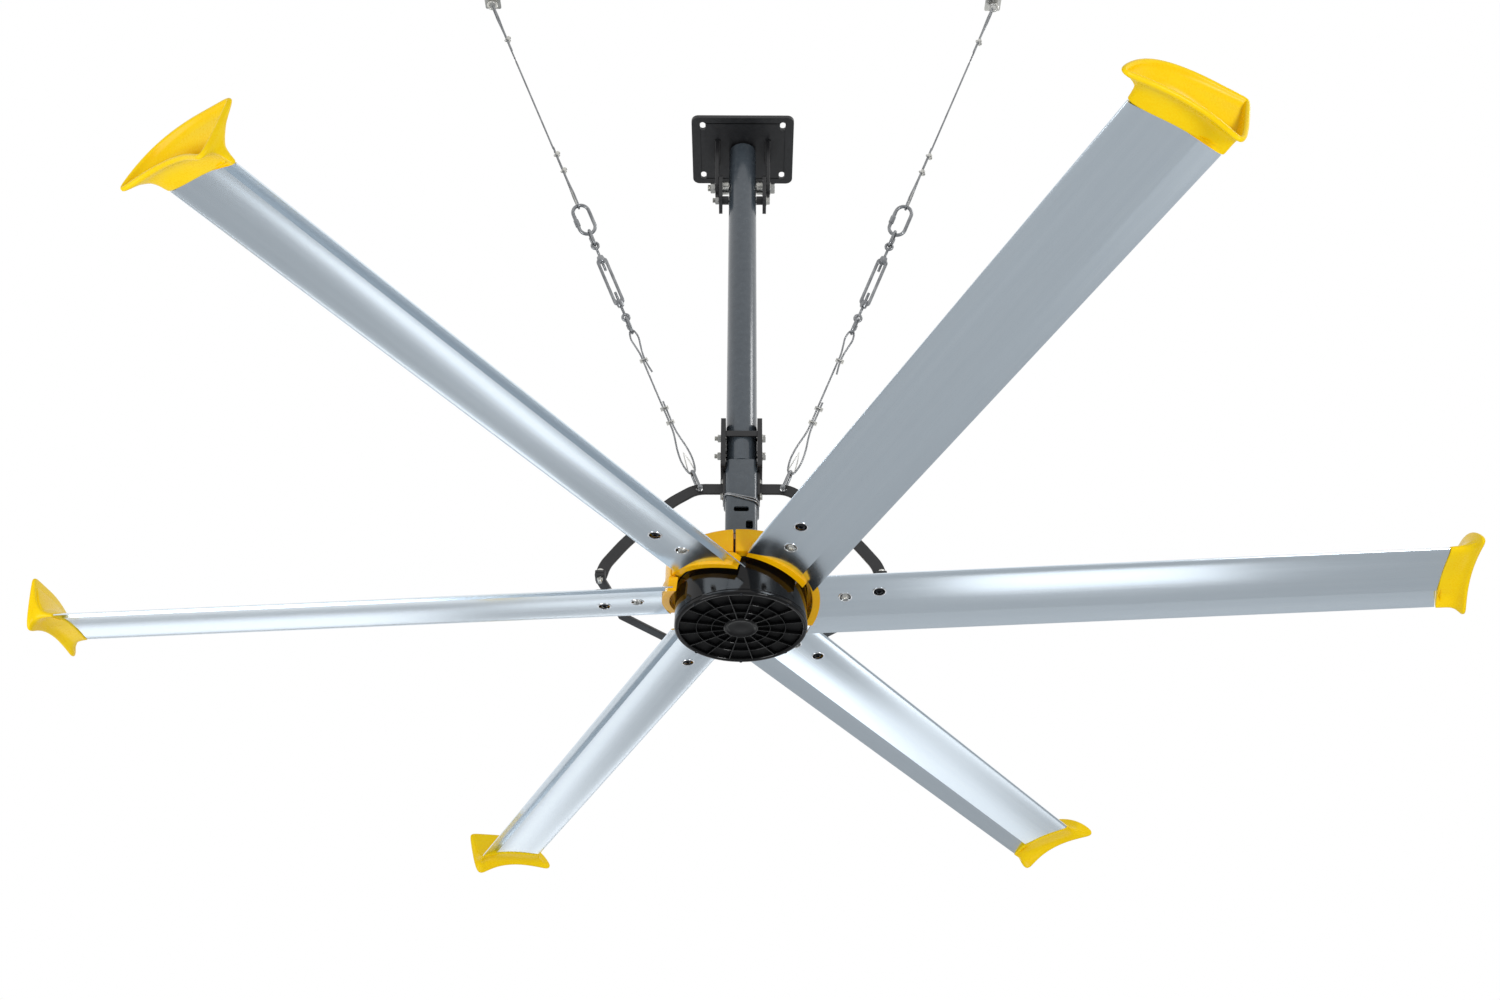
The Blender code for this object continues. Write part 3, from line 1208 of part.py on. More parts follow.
# Each wire's route is (across, along). It starts at a short tail and ends at the other one.
LOWER_ROUTE = [(-STRAND, 0.165), (-STRAND, 0.135), (-STRAND, 0.105), (-0.0048, 0.085), (-0.0100, 0.058),
               (-0.0120, 0.032), (-0.0092, 0.011), (-0.0050, 0.0022), (0.0, 0.0), (0.0050, 0.0022),
               (0.0092, 0.011), (0.0120, 0.032),
               (0.0100, 0.058), (0.0048, 0.085), (STRAND, 0.105), (STRAND, 0.150), (STRAND, 0.200),
               (STRAND, 0.250), (STRAND, 0.275), (0.0055, 0.295), (0.0082, 0.312), (0.0062, 0.325),
               (0.0036, 0.3297), (0.0, 0.331), (-0.0036, 0.3297), (-0.0062, 0.325), (-0.0082, 0.312),
               (-0.0055, 0.295), (-STRAND, 0.275),
               (-STRAND, 0.255), (-0.0060, 0.232)]
LOWER_TOP = 0.331
LOWER_CLIPS = (0.118, 0.150, 0.262)
CARABINER_LOOP = [(-STRAND, 0.150), (-STRAND, 0.110), (-STRAND, 0.078), (-0.0048, 0.056), (-0.0090, 0.034),
                  (-0.0088, 0.018), (-0.0068, 0.0066), (-0.0046, 0.0019), (0.0, 0.0), (0.0046, 0.0019),
                  (0.0068, 0.0066), (0.0088, 0.018), (0.0090, 0.034), (0.0048, 0.056),
                  (STRAND, 0.078), (STRAND, 0.110), (STRAND, 0.150)]
ANCHOR_LOOP = [(STRAND, 0.140), (STRAND, 0.100), (STRAND, 0.070), (0.0050, 0.050), (0.0082, 0.030),
               (0.0062, 0.006), (0.0036, 0.0013), (0.0, 0.0), (-0.0036, 0.0013), (-0.0062, 0.006),
               (-0.0082, 0.030), (-0.0050, 0.050), (-STRAND, 0.070), (-STRAND, 0.095), (-STRAND, 0.115)]
UPPER_CLIPS = (0.092, 0.132)
ANCHOR_CLIP = 0.086


def smooth_route(points, step):
    """Points read from a smooth curve through the route's own points."""
    padded = [points[0]] + list(points) + [points[-1]]
    read = []
    for before, start, end, after in zip(padded, padded[1:], padded[2:], padded[3:]):
        reach = math.dist(start, end)
        count = max(1, round(reach / step))
        for i in range(count):
            t = i / count
            read.append(tuple(
                0.5 * (2 * b + (c - a) * t + (2 * a - 5 * b + 4 * c - d) * t ** 2
                       + (3 * b - a - 3 * c + d) * t ** 3)
                for a, b, c, d in zip(before, start, end, after)))
    read.append(tuple(points[-1]))
    return read


def guy_wire(name, side):
    frame, length = guy_frame(side)
    link = (LINK_LENGTH, LINK_WIDTH, LINK_RADIUS)
    seat = (EYE_RADIUS - LINK_RADIUS) / 6
    top = ring_link("shackle_" + name, frame, (SHACKLE_LENGTH, SHACKLE_WIDTH, LINK_RADIUS), seat, False)
    lower_start = hooked(top, WIRE_RADIUS, LINK_RADIUS)
    top = lower_start + LOWER_TOP
    top = ring_link("lower_link_" + name, frame, link, hooked(top, LINK_RADIUS, WIRE_RADIUS), False)
    half = TURNBUCKLE_LENGTH / 2 + EYEBOLT_REACH + EYEBOLT_EYE
    middle = hooked(top, EYEBOLT_RADIUS, LINK_RADIUS) + half
    place("turnbuckle_" + name, turnbuckle_mesh(), frame @ Matrix.Translation((0, 0, middle)) @ QUARTER,
          GALVANISED, True)
    start = hooked(middle + half, LINK_RADIUS, EYEBOLT_RADIUS)
    top = ring_link("upper_link_" + name, frame, link, start, False)
    carabiner = (CARABINER_LENGTH, CARABINER_WIDTH, CARABINER_RADIUS)
    top = ring_link("carabiner_" + name, frame, carabiner, hooked(top, CARABINER_RADIUS, LINK_RADIUS), True)
    upper_start = hooked(top, WIRE_RADIUS, CARABINER_RADIUS)
    loop_end = length - ANCHOR_RING_RADIUS + LINK_RADIUS + WIRE_RADIUS + HOOK_CLEARANCE
    lower = [(across_at, lower_start + along) for across_at, along in LOWER_ROUTE]
    upper = [(across_at, upper_start + along) for across_at, along in CARABINER_LOOP]
    upper += [(across_at, loop_end - along) for across_at, along in ANCHOR_LOOP]
    lower_clips = [lower_start + along for along in LOWER_CLIPS]
    upper_clips = [upper_start + along for along in UPPER_CLIPS] + [loop_end - ANCHOR_CLIP]
    wires = (("lower", lower, lower_clips, QUARTER), ("upper", upper, upper_clips, Matrix()))
    for part, route, clips, turn in wires:
        points = [(across_at, 0, along) for across_at, along in smooth_route(route, WIRE_STEP)]
        wire = tube_mesh(points, WIRE_RADIUS)
        item = place("guy_wire_" + part + "_" + name, wire, frame @ turn, GALVANISED, True)
        boolean(item, clips_mesh(clips), "UNION")


def ceiling_anchor(name, side):
    frame, length = guy_frame(side)
    plate = box_mesh(ANCHOR_PLATE, ANCHOR_PLATE, ANCHOR_PLATE_THICKNESS)
    spot = Matrix.Translation((side * ANCHOR_REACH_X, ANCHOR_REACH_Y, -ANCHOR_PLATE_THICKNESS / 2))
    item = place("ceiling_anchor_" + name, plate, spot, ZINC)
    eye = tube_mesh(oval(2 * ANCHOR_RING_RADIUS, 2 * ANCHOR_RING_RADIUS), LINK_RADIUS, True, 2)
    turn = frame.to_3x3().to_4x4() @ QUARTER
    eye.transform(Matrix.Translation((0, 0, -ANCHOR_PLATE_THICKNESS / 2 - ANCHOR_STEM)) @ turn)
    return boolean(item, eye, "UNION")


def build():
    ceiling_bracket()
    swivel()
    cheeks()
    cheek_bolt()
    downrod()
    clamp()
    clamp_bolts()
    lower_mast()
    motor_shaft()
    motor_shell()
    bottom_cover()
    bearings()
    magnet_ring()
    stator()
    blades()
    holders()
    tip_caps()
    for name, side in SIDES:
        frame_arm(name, side)
    frame_hoop()
    frame_bolts()
    safety_cable()
    for name, side in SIDES:
        guy_wire(name, side)
        ceiling_anchor(name, side)


def attach(axis_name, level, names):
    """Hangs a moving body's pieces from an empty on its joint's axis."""
    axis = bpy.data.objects.new(axis_name, None)
    axis.location = (0, 0, level)
    axis.hide_render = True
    FAN.objects.link(axis)
    bpy.context.view_layer.update()
    for item in list(FAN.objects):
        if item.name.startswith(names):
            item.parent = axis
            item.matrix_parent_inverse = axis.matrix_world.inverted()
    return axis


build()
ROTOR = attach("rotor_axis", BLADE_LEVEL, ROTOR_NAMES)
SWAY = attach("swivel_axis", PIVOT_LEVEL, SWAY_NAMES)
ROTOR.parent = SWAY
ROTOR.matrix_parent_inverse = SWAY.matrix_world.inverted()
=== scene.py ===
# Finish of a large six-blade industrial ceiling fan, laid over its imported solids.
# Metres, +Z up. The origin is the middle of the ceiling plate's top face.

import math

import bpy
from mathutils import Matrix, Vector


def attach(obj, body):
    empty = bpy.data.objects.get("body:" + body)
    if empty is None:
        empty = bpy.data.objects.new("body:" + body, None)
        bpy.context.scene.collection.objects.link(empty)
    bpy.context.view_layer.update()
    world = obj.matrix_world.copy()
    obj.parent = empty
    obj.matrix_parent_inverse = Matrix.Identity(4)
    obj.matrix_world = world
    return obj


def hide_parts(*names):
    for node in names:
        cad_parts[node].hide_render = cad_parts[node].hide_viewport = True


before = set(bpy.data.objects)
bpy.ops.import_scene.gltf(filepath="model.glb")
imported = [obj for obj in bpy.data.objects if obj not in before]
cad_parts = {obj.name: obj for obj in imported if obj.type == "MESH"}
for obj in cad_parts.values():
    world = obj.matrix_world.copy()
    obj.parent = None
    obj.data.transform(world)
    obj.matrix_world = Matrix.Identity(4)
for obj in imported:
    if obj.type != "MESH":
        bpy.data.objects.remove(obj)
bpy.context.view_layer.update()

# Sizes of the fan, as its solids have them
GAP, BOLT_CLEARANCE = 0.0003, 0.0005
PLATE_LENGTH, PLATE_WIDTH, PLATE_THICKNESS, PLATE_CORNER = 0.240, 0.206, 0.010, 0.016
SLOT_WIDTH, SLOT_LENGTH, SLOT_CORNER, SLOT_INSET = 0.013, 0.024, 0.0064, 0.026
PIVOT_LEVEL, PIVOT_BOLT_RADIUS = -0.135, 0.008
EAR_THICKNESS, EAR_HALF_WIDTH, EAR_SHOULDER, EAR_ROUND, EAR_HEIGHT = 0.008, 0.038, 0.042, 0.022, 0.125
CHEEK_THICKNESS, CHEEK_WIDTH, CHEEK_RISE, CHEEK_DROP = 0.008, 0.056, 0.018, 0.062
CHEEK_BOLT_DROP, CHEEK_BOLT_RADIUS = 0.041, 0.006
SPACER_LENGTH, BOSS_WALL = 0.0145, 0.0035
ROD_RADIUS, ROD_WALL, ROD_TOP, ROD_BOTTOM = 0.03175, 0.0035, -0.016, -0.952
CLAMP_TOP, CLAMP_BOTTOM, CLAMP_THICKNESS, CLAMP_BOLT_RADIUS = -0.851, -0.976, 0.010, 0.005
CLAMP_BOLT_DROPS = (0.026, 0.072)
STRAP_DROP, STRAP_THICKNESS, STRAP_HEIGHT, STRAP_MARGIN = 0.040, 0.004, 0.014, 0.003
MAST_TOP, MAST_FLANGE_TOP, MAST_BOTTOM = -0.954, -1.184, -1.192
MAST_SIDE, MAST_CORNER, MAST_WALL = 0.064, 0.011, 0.004
FLANGE_RADIUS, FLANGE_BORE, FLANGE_BOLT_CIRCLE, FLANGE_BOLT_RADIUS = 0.062, 0.017, 0.052, 0.004
FLANGE_BOLT_COUNT = 4
DRUM_TOP, DRUM_BOTTOM, DRUM_RADIUS, DRUM_WALL = -1.2123, -1.3273, 0.127, 0.008
DRUM_SEAT, DRUM_BOSS_RADIUS, DRUM_BOSS_DROP = 0.0373, 0.0443, 0.014
COVER_TOP, COVER_BOTTOM, COVER_BOSS_RADIUS = -1.3276, -1.3366, 0.0340
BLADE_LEVEL, BLADE_CHORD, BLADE_THICKNESS, BLADE_OFFSET, BLADE_WALL = -1.2773, 0.152, 0.0175, 0.020, 0.002
BLADE_CAMBER_SHARE, FLAP_START_SHARE, FLAP_THICKNESS = 0.085, 0.77, 0.0024
CELL_SHARES = ((0.030, 0.150), (0.166, 0.570), (0.586, 0.740))
ROOT_RADIUS = 0.1525
BLADE_START = ROOT_RADIUS - BLADE_CHORD / 4
CAP_ROOT, BLADE_END = 1.3216, 1.3213
BLADE_PITCH = math.radians(13)
REST_TURN = math.radians(-5)
FIRST_BOLT_IN, BLADE_BOLT_SPACING, BOLT_STAGGER, ACCESS_RADIUS = 0.048, 0.066, 0.012, 0.011
LUG_LENGTH, LUG_WIDTH, LUG_THICKNESS, LUG_CORNER, LUG_HOLE_RADIUS = 0.158, 0.052, 0.006, 0.0087, 0.0052
HOLDER_TOP = DRUM_TOP + 0.0063
HOLDER_WALL, HOLDER_HEIGHT, HOLDER_SPLIT, HOLDER_SEAT = 0.0195, 0.050, 0.002, 0.010
HOLDER_FLANGE_REACH, HOLDER_FLANGE_THICKNESS = 0.034, 0.006
ROOT_BLOCK_LENGTH, ROOT_BLOCK_WIDTH, ROOT_BLOCK_HEIGHT, ROOT_BLOCK_SHIFT = 0.090, 0.126, 0.028, 0.012
FRAME_LEVEL, EYE_HOLE_REACH, EYE_HOLE_RADIUS = -1.0073, 0.085, 0.0070
ARM_WIDTH, ARM_THICKNESS, PAD_WIDTH, PAD_HEIGHT, PAD_THICKNESS = 0.024, 0.006, 0.044, 0.060, 0.005
HOOP_RADIUS, HOOP_TOP, HOOP_WIDTH, HOOP_THICKNESS, HOOP_TAIL = 0.273, -1.2223, 0.020, 0.006, 0.020
FOOT_BOLT_RADIUS, FOOT_BOLT_GRIP, FOOT_BOLT_SHIFT = 0.004, 0.0129, 0.0109
ANCHOR_REACH_X, ANCHOR_REACH_Y, ANCHOR_LEVEL = 0.544, -0.418, -0.013
ANCHOR_SIDE, ANCHOR_THICKNESS, ANCHOR_RING = 0.034, 0.003, 0.018
WIRE_RADIUS = 0.002
STRAND = 0.0026              # half the distance between two strands held in a clip
SIDES = (("left", -1), ("right", 1))
LETTERS = "abcdef"

ON_X = Matrix.Rotation(math.pi / 2, 4, "Y")
ON_Y = Matrix.Rotation(math.pi / 2, 4, "X")
QUARTER = Matrix.Rotation(math.pi / 2, 4, "Z")
SECTION_TURN = Matrix(((0, 0, 1, 0), (1, 0, 0, 0), (0, 1, 0, 0), (0, 0, 0, 1)))


def at(x, y, z):
    return Matrix.Translation((x, y, z))


# Camera, below the fan and looking up at it

CAMERA_LENS, CAMERA_SPOT, CAMERA_TILT, CAMERA_HEADING = 38.93, (0.004, -2.648, -2.944), 125.81, -0.29


def make_camera():
    data = bpy.data.cameras.new("camera")
    data.lens = CAMERA_LENS
    data.clip_end = 100
    camera = bpy.data.objects.new("camera", data)
    camera.location = CAMERA_SPOT
    camera.rotation_euler = (math.radians(CAMERA_TILT), 0, math.radians(CAMERA_HEADING))
    bpy.context.collection.objects.link(camera)
    bpy.context.scene.camera = camera


make_camera()


# Finishes

def linear(hex_colour):
    """An sRGB hex colour in linear light."""
    shares = [int(hex_colour[i:i + 2], 16) / 255 for i in (1, 3, 5)]
    return [share / 12.92 if share <= 0.04045 else ((share + 0.055) / 1.055) ** 2.4 for share in shares] + [1]


def add(tree, kind, settings=None, links=None):
    """Adds a node with its settings, and links its inputs to other nodes' outputs."""
    made = tree.nodes.new(kind)
    for name, value in (settings or {}).items():
        if isinstance(name, int) or name in made.inputs:
            made.inputs[name].default_value = value
        else:
            setattr(made, name, value)
    for name, (source, output) in (links or {}).items():
        tree.links.new(source.outputs[output], made.inputs[name])
    return made


def surface(name, light, dark, grain, roughness, relief, metallic=0.0, stretch=(1, 1, 1),
            coordinates="Object", **shader_settings):
    """A surface whose colour, roughness and relief follow a grain. Grain and relief are in metres."""
    made = bpy.data.materials.new(name)
    made.use_nodes = True
    tree = made.node_tree
    shader = tree.nodes["Principled BSDF"]
    shader.inputs["Metallic"].default_value = metallic
    for socket, value in shader_settings.items():
        shader.inputs[socket.replace("_", " ")].default_value = value
    place = add(tree, "ShaderNodeTexCoord")
    stretched = add(tree, "ShaderNodeMapping", {"Scale": stretch}, {"Vector": (place, coordinates)})
    drawn = {"Vector": (stretched, "Vector")}
    broad = add(tree, "ShaderNodeTexNoise", {"Scale": 0.08 / grain, "Detail": 3.0}, drawn)
    fine = add(tree, "ShaderNodeTexNoise", {"Scale": 1 / grain, "Detail": 2.0}, drawn)
    both = add(tree, "ShaderNodeMath", {"operation": "ADD"}, {0: (broad, "Fac"), 1: (fine, "Fac")})
    half = add(tree, "ShaderNodeMapRange", {"From Min": 0.7, "From Max": 1.3}, {"Value": (both, "Value")})
    colour = add(tree, "ShaderNodeMix", {"data_type": "RGBA", 6: linear(dark), 7: linear(light)},
                 {0: (half, "Result")})
    gloss = add(tree, "ShaderNodeMapRange", {"To Min": roughness[0], "To Max": roughness[1]},
                {"Value": (half, "Result")})
    bump = add(tree, "ShaderNodeBump", {"Strength": 0.5, "Distance": relief}, {"Height": (fine, "Fac")})
    for socket, node, output in (("Base Color", colour, 2), ("Roughness", gloss, 0), ("Normal", bump, 0)):
        tree.links.new(node.outputs[output], shader.inputs[socket])
    return made


# Polyester powder coat, sprayed and baked: a satin black with a fine orange peel
BLACK_COAT = surface("black_powder_coat", "#232325", "#161618", 0.0011, (0.34, 0.46), 0.00006)
# The same coat in slate grey on the tube and the mast
GREY_COAT = surface("slate_powder_coat", "#50585F", "#434B53", 0.0012, (0.20, 0.28), 0.00004,
                    Coat_Weight=0.25, Coat_Roughness=0.12)
# Glass-filled nylon, injection moulded: deep black, glossy, with a faint flow mottle
BLACK_NYLON = surface("glass_filled_nylon", "#0A0A0B", "#060607", 0.0016, (0.08, 0.14), 0.00003,
                      Specular_IOR_Level=0.28)
# The same nylon as the mould's eroded texture leaves it, in the cover's panels: matt
MATT_NYLON = surface("textured_nylon", "#0A0A0B", "#050506", 0.0007, (0.50, 0.62), 0.00008,
                     Specular_IOR_Level=0.15)
# Black oxide on alloy steel bolts: dark, oily and uneven
BLACK_OXIDE = surface("black_oxide_steel", "#3A3B3E", "#232427", 0.0016, (0.26, 0.40), 0.00002, 1.0)
# Yellow ABS, injection moulded: smooth and glossy, with a slow ripple
YELLOW_PLASTIC = surface("yellow_abs", "#FFDA0C", "#FFD204", 0.0030, (0.24, 0.32), 0.00004,
                         Specular_IOR_Level=0.16)
# Amber stove enamel on the castings that hold the blades: a little deeper and uneven
AMBER_ENAMEL = surface("amber_stove_enamel", "#FFC408", "#FFB802", 0.0022, (0.20, 0.30), 0.00006,
                       Specular_IOR_Level=0.25)
# Zinc-plated steel with a clear passivation: pale, slightly warm and cloudy
ZINC = surface("zinc_plated_steel", "#D2D1CA", "#B4B4B2", 0.0020, (0.24, 0.38), 0.00002, 1.0)
# Stainless steel ground on a wheel: rings of fine scratches round the axis
GROUND_STEEL = surface("ground_steel", "#C4C2BE", "#ABA9A6", 0.0020, (0.16, 0.28), 0.00002, 1.0, (1, 1, 12))
# Nickel-plated sintered magnets: bright and faintly pitted
NICKEL = surface("nickel_plated_magnet", "#B5B3AD", "#97958F", 0.0015, (0.22, 0.36), 0.00002, 1.0)
# Stacked electrical steel sheets 0.5 mm thick, drawn 2 mm thick so that they show
LAMINATION = surface("stator_lamination", "#8D8F92", "#55575A", 0.0020, (0.40, 0.60), 0.00010, 0.9,
                     (0.02, 0.02, 1))
# Copper wire under a clear amber enamel, wound in rows
COPPER = surface("enamelled_copper", "#C77A3C", "#8E4A1E", 0.0014, (0.25, 0.38), 0.00015, 0.9, (1, 1, 0.1))
# Extruded aluminium, etched and clear anodised: silky and pale, with die lines drawn along its length
ANODISED = surface("anodised_aluminium", "#DFE9F1", "#D8E3EC", 0.0012, (0.20, 0.24), 0.000004, 1.0,
                   (0.012, 1, 1), "UV")
# The same metal where a cutter has bared it round the access holes. It is paler than the anodised skin partly
# as the bare metal's own tone and partly as a painted highlight on the rims.
BARE_METAL_AND_HIGHLIGHT = surface("machined_aluminium_and_painted_highlight", "#F0F2F4", "#DDE0E3", 0.0010, (0.16, 0.24), 0.00002, 1.0)


def galvanised():
    """Hot-dip galvanised steel: grey zinc crystals a few millimetres wide, each with its own tone."""
    made = surface("galvanised_steel", "#A2A4A6", "#77797C", 0.0016, (0.30, 0.46), 0.00004, 1.0)
    tree = made.node_tree
    place = add(tree, "ShaderNodeTexCoord")
    crystals = add(tree, "ShaderNodeTexVoronoi", {"Scale": 1 / 0.0028}, {"Vector": (place, "Object")})
    tone = add(tree, "ShaderNodeMapRange", {"To Min": 0.20, "To Max": 0.40}, {"Value": (crystals, "Color")})
    tree.links.new(tone.outputs["Result"], tree.nodes["Principled BSDF"].inputs["Roughness"])
    return made


GALVANISED = galvanised()


# Modelling by hand

def nothing_selected():
    if bpy.context.object and bpy.context.object.mode != "OBJECT":
        bpy.ops.object.mode_set(mode="OBJECT")
    bpy.ops.object.select_all(action="DESELECT")


def only(item):
    nothing_selected()
    item.select_set(True)
    bpy.context.view_layer.objects.active = item


def join(items):
    nothing_selected()
    for item in items:
        item.select_set(True)
    bpy.context.view_layer.objects.active = items[0]
    if len(items) > 1:
        bpy.ops.object.join()
    return items[0]


def settle(item):
    only(item)
    bpy.ops.object.transform_apply(location=True, rotation=True, scale=True)
    return item


def apply_modifier(item, kind, **settings):
    only(item)
    modifier = item.modifiers.new(kind.lower(), kind)
    for name, value in settings.items():
        setattr(modifier, name, value)
    bpy.ops.object.modifier_apply(modifier=modifier.name)
    return item


def boolean(item, tool, operation="DIFFERENCE"):
    """Cuts one solid with another, which is used up."""
    apply_modifier(item, "BOOLEAN", operation=operation, solver="EXACT", object=tool)
    bpy.data.objects.remove(tool)
    return item


def face_outwards(item):
    only(item)
    bpy.ops.object.mode_set(mode="EDIT")
    bpy.ops.mesh.select_all(action="SELECT")
    bpy.ops.mesh.normals_make_consistent(inside=False)
    bpy.ops.object.mode_set(mode="OBJECT")
    return item


def smooth(item, degrees=32):
    only(item)
    bpy.ops.object.shade_smooth_by_angle(angle=math.radians(degrees))
    return item


def soften(item, width, segments=3, degrees=40):
    """Rounds the sharp edges and keeps the flats flat."""
    apply_modifier(item, "BEVEL", width=width, segments=segments, limit_method="ANGLE",
                   angle_limit=math.radians(degrees))
    smooth(item, 38)
    return apply_modifier(item, "WEIGHTED_NORMAL", keep_sharp=True)


def moved(item, place):
    item.data.transform(place)
    return item


def copy_of(item, place=None):
    twin = item.copy()
    twin.data = item.data.copy()
    bpy.context.collection.objects.link(twin)
    if place:
        twin.data.transform(place)
    return twin


def copies(pattern, places):
    """One copy of a pattern at each place, in place of the pattern itself."""
    made = [copy_of(pattern, place) for place in places]
    bpy.data.objects.remove(pattern)
    return made


def around(count, spot, first=0.0):
    """A place turned about Z in equal steps, the first of them a share of a step from X."""
    return [Matrix.Rotation(2 * math.pi * (i + first) / count, 4, "Z") @ spot for i in range(count)]


def outline(points):
    """A ring of edges through points (x, y) in the plane Z = 0."""
    nothing_selected()
    bpy.ops.mesh.primitive_circle_add(vertices=len(points), radius=1)
    ring = bpy.context.object
    for corner, (x, y) in zip(ring.data.vertices, points):
        corner.co = (x, y, 0)
    return ring


def plate(loops, thickness):
    """Flat stock cut to an outline with its holes, its middle plane at Z = 0."""
    item = join([outline(loop) for loop in loops])
    bpy.ops.object.mode_set(mode="EDIT")
    bpy.ops.mesh.select_all(action="SELECT")
    bpy.ops.mesh.fill()
    bpy.ops.mesh.select_all(action="SELECT")
    bpy.ops.mesh.extrude_region_move(TRANSFORM_OT_translate={"value": (0, 0, thickness)})
    bpy.ops.mesh.select_all(action="SELECT")
    bpy.ops.transform.translate(value=(0, 0, -thickness / 2))
    return face_outwards(item)


def turned(profile, steps=64, ring=False):
    """A profile of (radius, height) spun about Z. One that isn't a ring starts and ends on the axis."""
    item = outline(profile)
    for corner in item.data.vertices:
        corner.co = (corner.co.x, 0, corner.co.y)
    if not ring:
        bpy.ops.object.mode_set(mode="EDIT")
        bpy.ops.mesh.select_all(action="DESELECT")
        bpy.ops.object.mode_set(mode="OBJECT")
        for edge in item.data.edges:
            edge.select = set(edge.vertices) == {0, len(profile) - 1}
        bpy.ops.object.mode_set(mode="EDIT")
        bpy.ops.mesh.select_mode(type="EDGE")
        bpy.ops.mesh.delete(type="EDGE")
        bpy.ops.mesh.select_mode(type="VERT")
    bpy.ops.object.mode_set(mode="EDIT")
    bpy.ops.mesh.select_all(action="SELECT")
    bpy.ops.mesh.spin(steps=steps, angle=2 * math.pi, center=(0, 0, 0), axis=(0, 0, 1))
    bpy.ops.mesh.select_all(action="SELECT")
    bpy.ops.mesh.remove_doubles(threshold=0.000005)
    return face_outwards(item)


def rod(radius, length, sides=32):
    nothing_selected()
    bpy.ops.mesh.primitive_cylinder_add(vertices=sides, radius=radius, depth=length)
    return bpy.context.object


def block(x, y, z):
    nothing_selected()
    bpy.ops.mesh.primitive_cube_add(size=1, scale=(x, y, z))
    return settle(bpy.context.object)


def tube(points, radius, closed=False, sides=4):
    """A round bar bent along points."""
    curve = bpy.data.curves.new("bar", "CURVE")
    curve.dimensions = "3D"
    curve.bevel_depth = radius
    curve.bevel_resolution = sides
    curve.use_fill_caps = True
    spline = curve.splines.new("POLY")
    spline.points.add(len(points) - 1)
    for point, spot in zip(spline.points, points):
        point.co = (*spot, 1)
    spline.use_cyclic_u = closed
    item = bpy.data.objects.new("bar", curve)
    bpy.context.collection.objects.link(item)
    only(item)
    bpy.ops.object.convert(target="MESH")
    return smooth(bpy.context.object, 60)


def circle(radius, steps=32, middle=(0, 0)):
    turn = 2 * math.pi / steps
    return [(middle[0] + radius * math.cos(i * turn), middle[1] + radius * math.sin(i * turn))
            for i in range(steps)]


def arc(radius, start, end, steps, middle=(0, 0)):
    """Points along a round stretch. Its start and end are in half turns."""
    angles = [math.pi * (start + (end - start) * i / steps) for i in range(steps + 1)]
    return [(middle[0] + radius * math.cos(angle), middle[1] + radius * math.sin(angle)) for angle in angles]


def rounded_rectangle(width, height, radius, steps=8):
    points = []
    for corner in range(4):
        middle_x = (width / 2 - radius) * (1 if corner in (0, 3) else -1)
        middle_y = (height / 2 - radius) * (1 if corner in (0, 1) else -1)
        points += arc(radius, corner / 2, (corner + 1) / 2, steps, (middle_x, middle_y))
    return [point for i, point in enumerate(points) if math.dist(point, points[i - 1]) > 0.00001]


def shifted(loop, x, y):
    return [(px + x, py + y) for px, py in loop]


def oval(length, width, steps=12):
    """A long ring's middle line, upright in the XZ plane."""
    bend = arc(width / 2, 0, 1, steps, (0, (length - width) / 2))
    return [(x * end, 0, z * end) for end in (1, -1) for x, z in bend]


def strip(path, width):
    """The outline of a flat bar of one width along a bent path, with mitred bends."""
    near, far = [], []
    for i, point in enumerate(path):
        here = Vector(point)
        before = (here - Vector(path[i - 1])).normalized() if i else None
        after = (Vector(path[i + 1]) - here).normalized() if i < len(path) - 1 else None
        before = before or after
        after = after or before
        bisector = (before + after).normalized()
        reach = width / 2 / max(bisector.dot(before), 0.5)
        side = Vector((-bisector.y, bisector.x)) * reach
        near.append(tuple(here + side))
        far.append(tuple(here - side))
    return near + far[::-1]


def rounded_path(path, radius, steps=5):
    """A bent path with its corners turned to arcs."""
    points = [path[0]]
    for before, here, after in zip(path, path[1:], path[2:]):
        before, here, after = Vector(before), Vector(here), Vector(after)
        cut = min(radius, (before - here).length * 0.45, (after - here).length * 0.45)
        start = here + (before - here).normalized() * cut
        end = here + (after - here).normalized() * cut
        for i in range(steps + 1):
            t = i / steps
            points.append(tuple(start * (1 - t) ** 2 + here * 2 * t * (1 - t) + end * t ** 2))
    return points + [path[-1]]


def hexagon_solid(radius, height):
    """A hexagon with the corners of its two faces turned away."""
    half, shoulder = height / 2, height * 0.34
    item = turned([(0, -half), (radius * 0.90, -half), (radius * 1.02, -shoulder), (radius * 1.02, shoulder),
                   (radius * 0.90, half), (0, half)], 48)
    return smooth(boolean(item, rod(radius, height * 3, 6), "INTERSECT"), 25)


def washer(radius, thickness, sides=40, rounding=0.0003):
    return soften(rod(radius, thickness, sides), rounding, 2)


def seated_head(head, ring, **ring_settings):
    """A hexagon on its washer, each as (radius, height, level above the face that it seats on)."""
    return join([moved(hexagon_solid(*head[:2]), at(0, 0, head[2])),
                 moved(washer(*ring[:2], **ring_settings), at(0, 0, ring[2]))])


def threaded(radius, length, pitch=0.0015):
    """A threaded end, its crests as rings."""
    profile = [(0, 0)]
    count = max(2, int(length / pitch))
    for i in range(count):
        profile += [(radius * 0.86, -i * length / count), (radius, -(i + 0.5) * length / count)]
    profile += [(radius * 0.80, -length), (0, -length)]
    return smooth(turned(profile, 24), 20)


